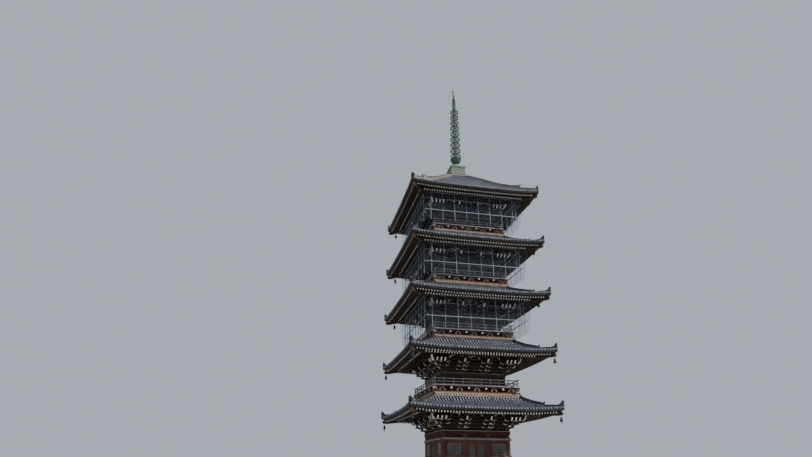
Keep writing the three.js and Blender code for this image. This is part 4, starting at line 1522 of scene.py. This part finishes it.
def add_window_bay(piece, sign, face, top):
    """Slats, window frame, boards and battens of one side bay of the first storey."""
    x0, x1 = sorted((sign * 1.39, sign * 2.53))
    add_slats(piece, x0 + 0.04, x1 - 0.04, 3.14, 3.91, face - 0.01, "slat_wood")
    for x in (x0 - 0.03, x1 + 0.03):
        piece.post(x, face + 0.025, 3.03, 4.02, 0.08, 0.06, "door_wood")
    for z in (3.07, 3.99):
        piece.bar(x0 - 0.07, x1 + 0.07, face + 0.025, z, 0.06, 0.08, "door_wood")
    wall = STOREYS[1]["wall"]
    for x in spread((wall - INNER_COLUMN) / 2 - 0.3, 0.24) + sign * (wall + INNER_COLUMN) / 2:
        piece.post(x, face, 1.75, 2.85, 0.228, 0.03, "timber_deep")
        piece.post(x, face, 4.44, top - 0.01, 0.228, 0.03, "dark_red")
        piece.post(x + 0.12, face + 0.02, 1.75, 2.85, 0.035, 0.03)


def build_closed_doors():
    """Frames, panels and straps on the shut doors of the other three sides."""
    piece = Piece("closed_door_panels", "door_wood", "door_panel", "iron")
    out = STOREYS[1]["wall"] + 0.052
    for sign in (-1, 1):
        add_leaf(piece, sign * 0.012, sign * DOOR_HINGE, DOOR_LOW, DOOR_TOP, out, 0.05)
    piece.build(turns=4, first=1, tone_step=0)


def build_front_doors():
    """Frames, panels and fittings of the two leaves that turn."""
    wall = STOREYS[1]["wall"]
    for side, sign in (("left", -1), ("right", 1)):
        low_corner, high_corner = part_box(f"front_door_{side}")
        hinge = sign * (max(abs(low_corner.x), abs(high_corner.x)) / SCALE - 0.07)
        meet = sign * 0.014
        piece = Piece(f"front_door_{side}_panels", "door_wood", "door_panel", "iron")
        add_leaf(piece, meet, hinge, DOOR_LOW, DOOR_TOP, wall + 0.038, 0.016)
        add_ledges(piece, *sorted((meet, hinge)), wall - 0.046)
        add_door_ring(piece, sign * 0.1, wall)
        piece.build(body=f"door_{side}")


def add_ledges(piece, x0, x1, out):
    """Ledges on the inner face of a leaf."""
    for z in (DOOR_LOW + 0.15, (DOOR_LOW + DOOR_TOP) / 2, DOOR_TOP - 0.2):
        piece.bar(x0 + 0.04, x1 - 0.04, out, z, 0.02, 0.11)


def add_door_ring(piece, x, wall):
    """A pull ring that hangs from a round plate."""
    path = []
    for turn in np.linspace(0, 2 * math.pi, 17):
        path.append(front(x + 0.045 * math.cos(turn), wall + 0.066, 2.72 + 0.045 * math.sin(turn)))
    piece.add(*tube(path, 0.007, 6), "iron")
    plate = [(0.05, -0.006), (0.05, 0.0), (0.02, 0.018)]
    piece.boss(plate, 10, x, wall + 0.05, 2.77, "iron")


# Platform


def build_stonework():
    """Facing stones, corner posts and coping blocks of the platform, and the column bases."""
    piece = Piece("platform_stones", "stone")
    half, top = PLATFORM_HALF, PLATFORM_TOP
    for along in np.linspace(-half, half, 9)[:-1]:
        behind_steps = abs(along + 0.6) < 1.3
        if not behind_steps:
            end = along + 2 * half / 8
            piece.post((along + end) / 2, half + 0.02, 0.22, top - 0.19, end - along - 0.2, 0.05)
    for along in np.linspace(-half, half, 9):
        if abs(along) > 1.4:
            inner = math.copysign(min(abs(along), half - 0.04), along)
            piece.post(inner, half + 0.03, 0.2, top - 0.18, 0.17, 0.09)
    for z0, z1, out in ((0.0, 0.2, 0.1), (top - 0.18, top, 0.08)):
        edge = half + out
        for along in np.linspace(-edge, edge, 8)[:-1]:
            end = along + 2 * edge / 7
            middle, tall = (z0 + z1) / 2, z1 - z0 - 0.004
            piece.bar(along + 0.006, end - 0.006, edge - 0.1, middle, 0.23, tall)
    wall = STOREYS[1]["wall"]
    for x in (-INNER_COLUMN, INNER_COLUMN, wall):
        piece.add(*lathe([(0.3, 1.295), (0.3, 1.33), (0.22, 1.36)], 20, (x, -wall)))
    piece.build(turns=4)


# Nets


def net_profile(n):
    """Section of the bird net: half width and height, from the rafters, over the ends of the
    pipes and in to the foot of the balcony."""
    eave = STOREYS[n]["eave"]
    half, _, high = SHOULDERS[n - 1]
    top = rafter_under(n, NET_OUT) - 0.01
    knots = [(NET_OUT, top), (4.99, eave - 1.2), (4.9, eave - 2.1), (4.77, eave - 2.98)]
    knots = np.array([*knots, (4.2, eave - 3.32), (half + 0.06, high - 0.03)])
    walked = np.concatenate([[0], np.cumsum(np.linalg.norm(np.diff(knots, axis=0), axis=1))])
    places = np.linspace(0, walked[-1], 17)
    return np.array([[np.interp(p, walked, knots[:, k]) for k in (0, 1)] for p in places])


def net_rows(profile, n, side, turn):
    """Rows of points of one net, which bulges and ripples a little between its edges."""
    chance = random.Random(f"net {n} {side}")
    waves = []
    for _ in range(4):
        waves.append((chance.uniform(0.6, 1.6), chance.uniform(0, 6.28), chance.uniform(0.01, 0.03)))
    spin = Matrix.Rotation(turn * math.pi / 2, 3, "Z")
    rows = []
    for k, (r, z) in enumerate(profile):
        free = math.sin(math.pi * k / (len(profile) - 1))
        row = []
        for share in np.linspace(-1, 1, 41):
            along = share * r
            ripple = sum(size * math.sin(rate * 2 * along + phase) for rate, phase, size in waves)
            row.append(spin @ Vector(front(along, r + ripple * free * (1 - share**8), z)))
        rows.append(row)
    return rows, np.array(spin @ Vector(OUT))


def build_net(n, side, turn):
    """One side of the bird net, which hangs from the rafters and is tied to the balcony."""
    profile = net_profile(n)
    rows, outward = net_rows(profile, n, side, turn)
    piece = Piece(f"bird_net_{n}_{side}", "net")
    piece.add(*strip(rows), tone=0.0, facing=outward)
    made = piece.build(sharp=180)


def build_net_pipes(n):
    """Thin pipes between the main ones of the net frame, with clamps where they cross."""
    eave = STOREYS[n]["eave"]
    low, high, rail = eave - 2.94, rafter_under(n, PIPE_OUT + 0.03) - 0.01, eave - 0.72
    piece = Piece(f"net_pipes_{n}", "pipe")
    for along in (-2.95, -0.59, 0.59, 2.95):
        piece.add(*tube([front(along, PIPE_OUT, low), front(along, PIPE_OUT, high)], 0.024, 8))
    piece.add(*tube([front(-PIPE_OUT, PIPE_OUT, rail), front(PIPE_OUT, PIPE_OUT, rail)], 0.024, 8))
    for z in (rail, eave - 1.9):
        for along in (-4.13, -2.95, -1.77, -0.59, 0.59, 1.77, 2.95, 4.13):
            ends = [front(along + side * 0.05, PIPE_OUT - 0.01, z) for side in (-1, 1)]
            piece.add(*beam(*ends, 0.09, 0.08))
    piece.build(turns=4)


# Bells


def build_bells(n):
    """Wind bells with their wind plates, hung from the hip rafters."""
    piece = Piece(f"wind_bells_{n}", "bronze")
    r = 5.55 if n in NETTED else rafter_tip(n) + 0.02
    spot = np.array(corner(r, 0, STOREYS[n]["eave"] - 0.24))

    def rod(above, below, radius, sides):
        piece.add(*tube([spot + (0, 0, above), spot - (0, 0, below)], radius, sides))

    rod(0.06, 0.16, 0.014, 6)
    outer = [(0.004, 0.0), (0.06, -0.01), (0.075, -0.05), (0.085, -0.16), (0.115, -0.26), (0.125, -0.3)]
    inner = [(0.1, -0.3), (0.07, -0.16), (0.004, -0.14)]
    points, faces = lathe([(radius * 1.2, height * 1.2) for radius, height in [*outer, *inner]], 14)
    piece.add(points + spot - (0, 0, 0.15), faces)
    rod(-0.3, 0.6, 0.01, 5)
    plate = [(-0.02, 0), (0.02, 0), (0.075, -0.07), (0.06, -0.15), (0, -0.12)]
    plate += [(-0.06, -0.15), (-0.075, -0.07)]
    thick = np.array(CORNER_OUT) * 0.012
    piece.add(*extrude(plate, spot - (0, 0, 0.57), CORNER_ACROSS, UP, thick))
    piece.build(turns=4)


# Spire


def build_spire():
    """The spire's metalwork from its tile courses up to the jewels."""
    build_spire_courses()
    build_basin_mouldings()
    build_bowl()
    build_lotus()
    build_rings()
    build_flame()
    build_jewels()


def build_spire_courses():
    """Tile courses under the basin."""
    # The courses take the top roof's lighter ridge colour: painted sunlight.
    piece = Piece("spire_courses", "top_ridge")
    for z, half in ((30.78, 0.8), (30.91, 0.87), (31.02, 0.78)):
        piece.bar(-half, half, half - 0.05, z, 0.12, 0.11)
    piece.build(turns=4)


def build_basin_mouldings():
    """Mouldings, posts and rosettes on the sides of the dew basin."""
    piece = Piece("basin_mouldings", "basin_bronze")
    low, high = BASE_TOP, BASIN_TOP
    mouldings = ((low + 0.07, 0.12, 0.82), (low + 0.16, 0.05, 0.79))
    mouldings += ((high - 0.2, 0.05, 0.79), (high - 0.07, 0.13, 0.83))
    for z, tall, half in mouldings:
        piece.bar(-half, half, half - 0.04, z, 0.09, tall)
    for along in (-0.7, -0.24, 0.24, 0.7):
        piece.post(along, 0.75, low + 0.18, high - 0.22, 0.07, 0.05)
    rosette = [(0.1, 0), (0.1, 0.02), (0.06, 0.035), (0.02, 0.03)]
    for along in (-0.47, 0, 0.47):
        piece.boss(rosette, 12, along, 0.74, (low + high) / 2)
    piece.build(turns=4)


def build_bowl():
    """The upturned bowl on a low plinth."""
    piece = Piece("bowl", "basin_bronze")
    plinth = [(0.02, 0.01), (0.58, 0.01), (0.58, 0.05)]
    dome = [(0.55 * math.cos(t), 0.02 + 0.55 * math.sin(t)) for t in np.linspace(0, 1.25, 12)]
    profile = [(r, BASIN_TOP + z) for r, z in [*plinth, *dome]]
    piece.add(*lathe([*profile, (0.02, BOWL_TOP - 0.01)], 32))
    made = piece.build()
    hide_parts("inverted_bowl")


def build_lotus():
    """A cup with two tiers of petals."""
    piece = Piece("lotus", "flame_bronze")
    cup = [(0.02, BOWL_TOP + 0.01), (0.24, BOWL_TOP + 0.01), (0.3, BOWL_TOP + 0.24)]
    cup += [(0.4, LOTUS_TOP - 0.07), (0.02, LOTUS_TOP - 0.07)]
    piece.add(*lathe(cup, 24))
    count = 16
    tiers = ((BOWL_TOP + 0.02, LOTUS_TOP - 0.06, 0.54), (BOWL_TOP + 0.12, LOTUS_TOP, 0.6))
    for tier, (low, high, reach) in enumerate(tiers):
        for k in range(count):
            add_petal(piece, 2 * math.pi * (k + tier / 2) / count, low, high, reach)
    made = piece.build()
    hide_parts("lotus_cup")


def add_petal(piece, turn, low, high, reach):
    out, side = around(turn)
    rows = []
    for share, r in ((0, 0.2), (0.3, 0.36), (0.65, 0.5), (0.9, reach - 0.02), (1, reach)):
        wide = side * (0.12 * math.sin(math.pi * (0.2 + 0.72 * share)) + 0.006)
        centre = out * r + (0, 0, low + (high - low) * share**1.4)
        rear, rib = centre - out * 0.03, out * 0.02
        rows.append([rear - wide, centre + rib, rear + wide, centre - rib])
    piece.add(*capped(rows))


def build_rings():
    """The shaft with its nine spoked rings and their small bells."""
    piece = Piece("nine_rings", "bronze", "shaft_bronze")
    shaft = 0.13
    piece.add(*lathe([(shaft, LOTUS_TOP - 0.05), (shaft, SHAFT_TOP)], 16), "shaft_bronze")
    for k in range(RINGS):
        share = k / (RINGS - 1)
        r, z = 0.58 - 0.13 * share, 33.72 + 5.88 * share
        section = [(r - 0.05, -0.06), (r, -0.06), (r + 0.005, 0), (r, 0.06), (r - 0.05, 0.06)]
        rows = []
        for turn in np.linspace(0, 2 * math.pi, 33):
            cos, sin = math.cos(turn), math.sin(turn)
            rows.append([(out * cos, out * sin, z + up) for out, up in section])
        piece.add(*strip(rows, closed=True))
        hub = [(shaft, z - 0.1), (0.2, z - 0.08), (0.2, z + 0.08), (shaft, z + 0.1)]
        piece.add(*lathe(hub, 16), "shaft_bronze")
        for spoke in range(8):
            out, _ = around(spoke * math.pi / 4 + 0.2 * k)
            add_spoke(piece, out, r - 0.02, z)
    made = piece.build()
    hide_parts("ringed_shaft")


def add_spoke(piece, out, reach, z):
    """One spoke of a ring, with a small bell under its outer end."""
    piece.add(*beam(out * 0.15 + (0, 0, z), out * reach + (0, 0, z), 0.03, 0.07))
    bell, sides = lathe([(0.008, 0), (0.02, -0.02), (0.034, -0.09), (0.03, -0.1), (0.004, -0.1)], 8)
    piece.add(bell + out * reach + (0, 0, z - 0.085), sides)


def build_flame():
    """Four openwork fins round the upper rod, each with a row of scrolls."""
    piece = Piece("flame_fins", "flame_bronze")
    rod = [(0.09, SHAFT_TOP), (0.16, 39.9), (0.09, 40.0), (0.07, 40.1), (0.055, 41.79)]
    piece.add(*lathe(rod, 12))
    edge = [(0.06, 39.95), (0.17, 40.02), (0.25, 40.25), (0.18, 40.42), (0.25, 40.62), (0.19, 40.78)]
    edge += [(0.25, 41.0), (0.16, 41.12), (0.2, 41.36), (0.09, 41.5), (0.05, 41.75)]
    inner = [(0.06, 41.6), (0.08, 41.3), (0.08, 41.05), (0.15, 40.95), (0.1, 40.8), (0.15, 40.62)]
    inner += [(0.1, 40.45), (0.15, 40.25), (0.11, 40.12), (0.06, 40.05)]
    for k in range(4):
        out, side = around(k * math.pi / 2)
        piece.add(*extrude([*edge, *inner], (0, 0, 0), out, UP, side * 0.04))
        for z in (40.2, 40.52, 40.86, 41.2):
            scroll = []
            for turn in np.linspace(0, 2 * math.pi, 11):
                spot = out * (0.09 + 0.05 * math.sin(turn))
                scroll.append(spot + (0, 0, z + 0.07 * math.cos(turn)))
            piece.add(*tube(scroll, 0.014, 6))
    made = piece.build()
    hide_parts("water_flame")


def build_jewels():
    """A small round jewel under a large pointed one."""
    piece = Piece("jewel_pair", "jewel_bronze")
    profile = [(0.05, 41.81), (0.14, 41.82), (0.14, 41.86), (0.09, 41.89)]
    for turn in np.linspace(0.4, 2.7, 8):
        profile.append((0.09 + 0.12 * math.sin(turn), 42.0 - 0.11 * math.cos(turn)))
    profile += [(0.08, 42.14), (0.08, 42.24), (0.13, 42.27), (0.1, 42.31)]
    for turn in np.linspace(0.6, 2.1, 7):
        profile.append((0.22 * math.sin(turn), 42.52 - 0.21 * math.cos(turn)))
    profile += [(0.17, 42.75), (0.11, 42.87), (0.05, 42.96), (0.012, 42.995)]
    piece.add(*lathe(profile, 20))
    made = piece.build()
    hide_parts("jewels")


# Carried-over nodes


def restyle(node, chooser, *finishes):
    """Gives a node its finishes, chosen for each face from its middle."""
    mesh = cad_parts[node].data
    mesh.materials.clear()
    for finish in finishes:
        mesh.materials.append(material(finish))
    picks = [chooser(Vector(face.center) / SCALE) for face in mesh.polygons]
    mesh.polygons.foreach_set("material_index", np.array(picks, np.int32))


def plain(centre):
    return 0


def by_side(centre):
    """0 on the front and the back, 1 on the other two sides."""
    return 0 if abs(centre.y) > abs(centre.x) else 1


def by_rail(centre):
    """1 or 2 on the level rails of a wall, by the way they run, and 0 elsewhere."""
    rails = ((1.52, 1.75), (2.86, 3.04), (4.18, 4.42))
    on_rail = any(low - 0.01 <= centre.z <= high + 0.01 for low, high in rails)
    proud = max(abs(centre.x), abs(centre.y)) > 2.95
    return 1 + by_side(centre) if on_rail and proud else 0


def restyle_nodes():
    """Finishes of the frame's own parts."""
    for node in ("platform", "front_steps"):
        restyle(node, plain, "stone")
    restyle("floor", plain, "weathered_x")
    restyle("ground_sill", by_side, "red_timber_x", "red_timber_y")
    restyle("head_beam_1", by_side, "dark_red_x", "dark_red_y")
    walls = ("front_wall_left", "front_wall_right", "front_wall_over_door")
    for node in (*walls, "back_wall", "left_wall", "right_wall"):
        restyle(node, by_rail, "red_timber_z", "red_timber_x", "red_timber_y")
    shut_doors = ("back_doors", "left_doors", "right_doors")
    for node in (*shut_doors, "front_door_left", "front_door_right"):
        restyle(node, plain, "door_wood_z")
    for n in STOREYS:
        restyle(f"roof_{n}", plain, "tile_bed")
    for n in UPPER:
        restyle(f"balcony_base_{n}", by_side, "foot_x", "foot_y")
        restyle(f"balcony_deck_{n}", plain, "weathered_x")
        restyle(f"walls_{n}", plain, "timber_upright")
    for n in NETTED:
        restyle(f"net_frame_{n}", plain, "pipe")
    restyle("spire_base", plain, "ridge_bed")
    restyle("dew_basin", plain, "basin_bronze")


# Stage


def build_stage():
    """Pale floor, soft light and the camera at the photograph's viewing angle."""
    build_studio_floor()
    build_sky()
    build_lights()
    build_camera()


def build_studio_floor():
    half, below = 160, -0.002
    mesh = bpy.data.meshes.new("studio_floor")
    edge = [(-half, -half, below), (half, -half, below), (half, half, below), (-half, half, below)]
    mesh.from_pydata(edge, [], [(0, 1, 2, 3)])
    mesh.materials.append(material("floor_paper"))
    floor = bpy.data.objects.new("studio_floor", mesh)
    bpy.context.scene.collection.objects.link(floor)


def build_sky():
    world = bpy.data.worlds.new("studio")
    world.use_nodes = True
    sky = world.node_tree.nodes["Background"].inputs
    sky["Color"].default_value = (0.78, 0.87, 1.0, 1)
    sky["Strength"].default_value = 0.6
    bpy.context.scene.world = world


def build_lights():
    """Each light's heading and height in degrees, its strength and how wide its source is."""
    warm, cool = (1.0, 0.95, 0.88), (0.9, 0.95, 1.0)
    lights = (
        ("key", 52, 32, 4.0, 2, warm),
        ("fill", -40, 20, 0.3, 40, cool),
        ("back", 170, 35, 0.5, 40, cool),
    )
    for name, heading, height, strength, source, colour in lights:
        light = bpy.data.lights.new(name, "SUN")
        light.energy = strength
        light.angle = math.radians(source)
        light.color = colour
        lamp = bpy.data.objects.new(name, light)
        lamp.rotation_euler = (math.radians(90 - height), 0, math.radians(heading))
        bpy.context.scene.collection.objects.link(lamp)


def build_camera():
    """The camera as fitted to the photograph: it looks up from eye level at the model's scale."""
    spot = (-8.04392, -25.22862, 0.79963)
    heading, pitch, roll = (math.radians(angle) for angle in (11.786, 23.9315, 0.3787))
    lens = bpy.data.cameras.new("camera")
    lens.lens = 24.4994
    lens.sensor_width = 36
    lens.clip_end = 500
    camera = bpy.data.objects.new("camera", lens)
    level = Vector((math.sin(heading), math.cos(heading), 0)) * math.cos(pitch)
    forward = level + Vector((0, 0, math.sin(pitch)))
    right = forward.cross(Vector(UP)).normalized()
    up = right.cross(forward)
    tilted = right * math.cos(roll) + up * math.sin(roll)
    turn = Matrix((tilted, tilted.cross(forward), -forward)).transposed().to_4x4()
    camera.matrix_world = Matrix.Translation(Vector(spot)) @ turn
    bpy.context.scene.collection.objects.link(camera)
    bpy.context.scene.camera = camera


# Operators


class PAGODA_OT_stage(bpy.types.Operator):
    """Make the floor, the lights and the camera"""

    bl_idname = "pagoda.stage"
    bl_label = "Stage"

    def execute(self, context):
        build_stage()
        return {"FINISHED"}


class PAGODA_OT_nodes(bpy.types.Operator):
    """Give the frame's own parts their finishes"""

    bl_idname = "pagoda.nodes"
    bl_label = "Finishes of the frame"

    def execute(self, context):
        restyle_nodes()
        return {"FINISHED"}


class PAGODA_OT_roofs(bpy.types.Operator):
    """Lay the tiles, the hip ridges and the shoulder courses"""

    bl_idname = "pagoda.roofs"
    bl_label = "Roofs"

    def execute(self, context):
        sizes = context.scene.pagoda_sizes
        for n in STOREYS:
            build_tiles(n, sizes)
            build_ridges(n)
        for n in SHOULDERS:
            build_shoulder(n, sizes)
        return {"FINISHED"}


class PAGODA_OT_eaves(bpy.types.Operator):
    """Make the rafters, eave boards and hip rafters"""

    bl_idname = "pagoda.eaves"
    bl_label = "Eaves"

    def execute(self, context):
        for n in STOREYS:
            build_rafters(n, context.scene.pagoda_sizes)
        return {"FINISHED"}


class PAGODA_OT_brackets(bpy.types.Operator):
    """Make the bracket sets under the eaves"""

    bl_idname = "pagoda.brackets"
    bl_label = "Brackets"

    def execute(self, context):
        for n in STOREYS:
            build_brackets(n)
        return {"FINISHED"}


class PAGODA_OT_balconies(bpy.types.Operator):
    """Make the balcony arms, carvings and balustrades"""

    bl_idname = "pagoda.balconies"
    bl_label = "Balconies"

    def execute(self, context):
        for n in UPPER:
            build_balcony(n)
            build_railing(n)
        return {"FINISHED"}


class PAGODA_OT_walls(bpy.types.Operator):
    """Make the joinery of the walls, windows and doors"""

    bl_idname = "pagoda.walls"
    bl_label = "Walls and doors"

    def execute(self, context):
        for n in UPPER:
            build_upper_wall(n)
        build_first_walls()
        build_closed_doors()
        build_front_doors()
        return {"FINISHED"}


class PAGODA_OT_stonework(bpy.types.Operator):
    """Face the platform with stones"""

    bl_idname = "pagoda.stonework"
    bl_label = "Stonework"

    def execute(self, context):
        build_stonework()
        return {"FINISHED"}


class PAGODA_OT_nets(bpy.types.Operator):
    """Hang the bird nets and their thinner pipes"""

    bl_idname = "pagoda.nets"
    bl_label = "Bird nets"

    def execute(self, context):
        for n in NETTED:
            build_net_pipes(n)
            for turn, side in enumerate(("front", "right", "back", "left")):
                build_net(n, side, turn)
        return {"FINISHED"}


class PAGODA_OT_bells(bpy.types.Operator):
    """Hang the wind bells"""

    bl_idname = "pagoda.bells"
    bl_label = "Wind bells"

    def execute(self, context):
        for n in STOREYS:
            build_bells(n)
        return {"FINISHED"}


class PAGODA_OT_spire(bpy.types.Operator):
    """Make the metalwork of the spire"""

    bl_idname = "pagoda.spire"
    bl_label = "Spire"

    def execute(self, context):
        build_spire()
        return {"FINISHED"}


STEPS = (
    PAGODA_OT_stage,
    PAGODA_OT_nodes,
    PAGODA_OT_stonework,
    PAGODA_OT_walls,
    PAGODA_OT_brackets,
    PAGODA_OT_eaves,
    PAGODA_OT_roofs,
    PAGODA_OT_balconies,
    PAGODA_OT_nets,
    PAGODA_OT_bells,
    PAGODA_OT_spire,
)


class PAGODA_PT_panel(bpy.types.Panel):
    """Steps and settings of the pagoda"""

    bl_idname = "PAGODA_PT_panel"
    bl_label = "Pagoda"
    bl_space_type = "VIEW_3D"
    bl_region_type = "UI"
    bl_category = "Pagoda"

    def draw(self, context):
        for settings in (context.scene.pagoda_sizes, context.scene.pagoda_colours):
            for key in settings.__annotations__:
                self.layout.prop(settings, key)
        for step in STEPS:
            self.layout.operator(step.bl_idname)


CLASSES = (PagodaColours, PagodaSizes, *STEPS, PAGODA_PT_panel)


def register():
    for item in CLASSES:
        bpy.utils.register_class(item)
    bpy.types.Scene.pagoda_colours = PointerProperty(type=PagodaColours)
    bpy.types.Scene.pagoda_sizes = PointerProperty(type=PagodaSizes)


def unregister():
    del bpy.types.Scene.pagoda_sizes
    del bpy.types.Scene.pagoda_colours
    for item in reversed(CLASSES):
        bpy.utils.unregister_class(item)


def main():
    register()
    steps = bpy.ops.pagoda
    steps.stage()
    steps.nodes()
    steps.stonework()
    steps.walls()
    steps.brackets()
    steps.eaves()
    steps.roofs()
    steps.balconies()
    steps.nets()
    steps.bells()
    steps.spire()


if __name__ == "__main__":
    main()
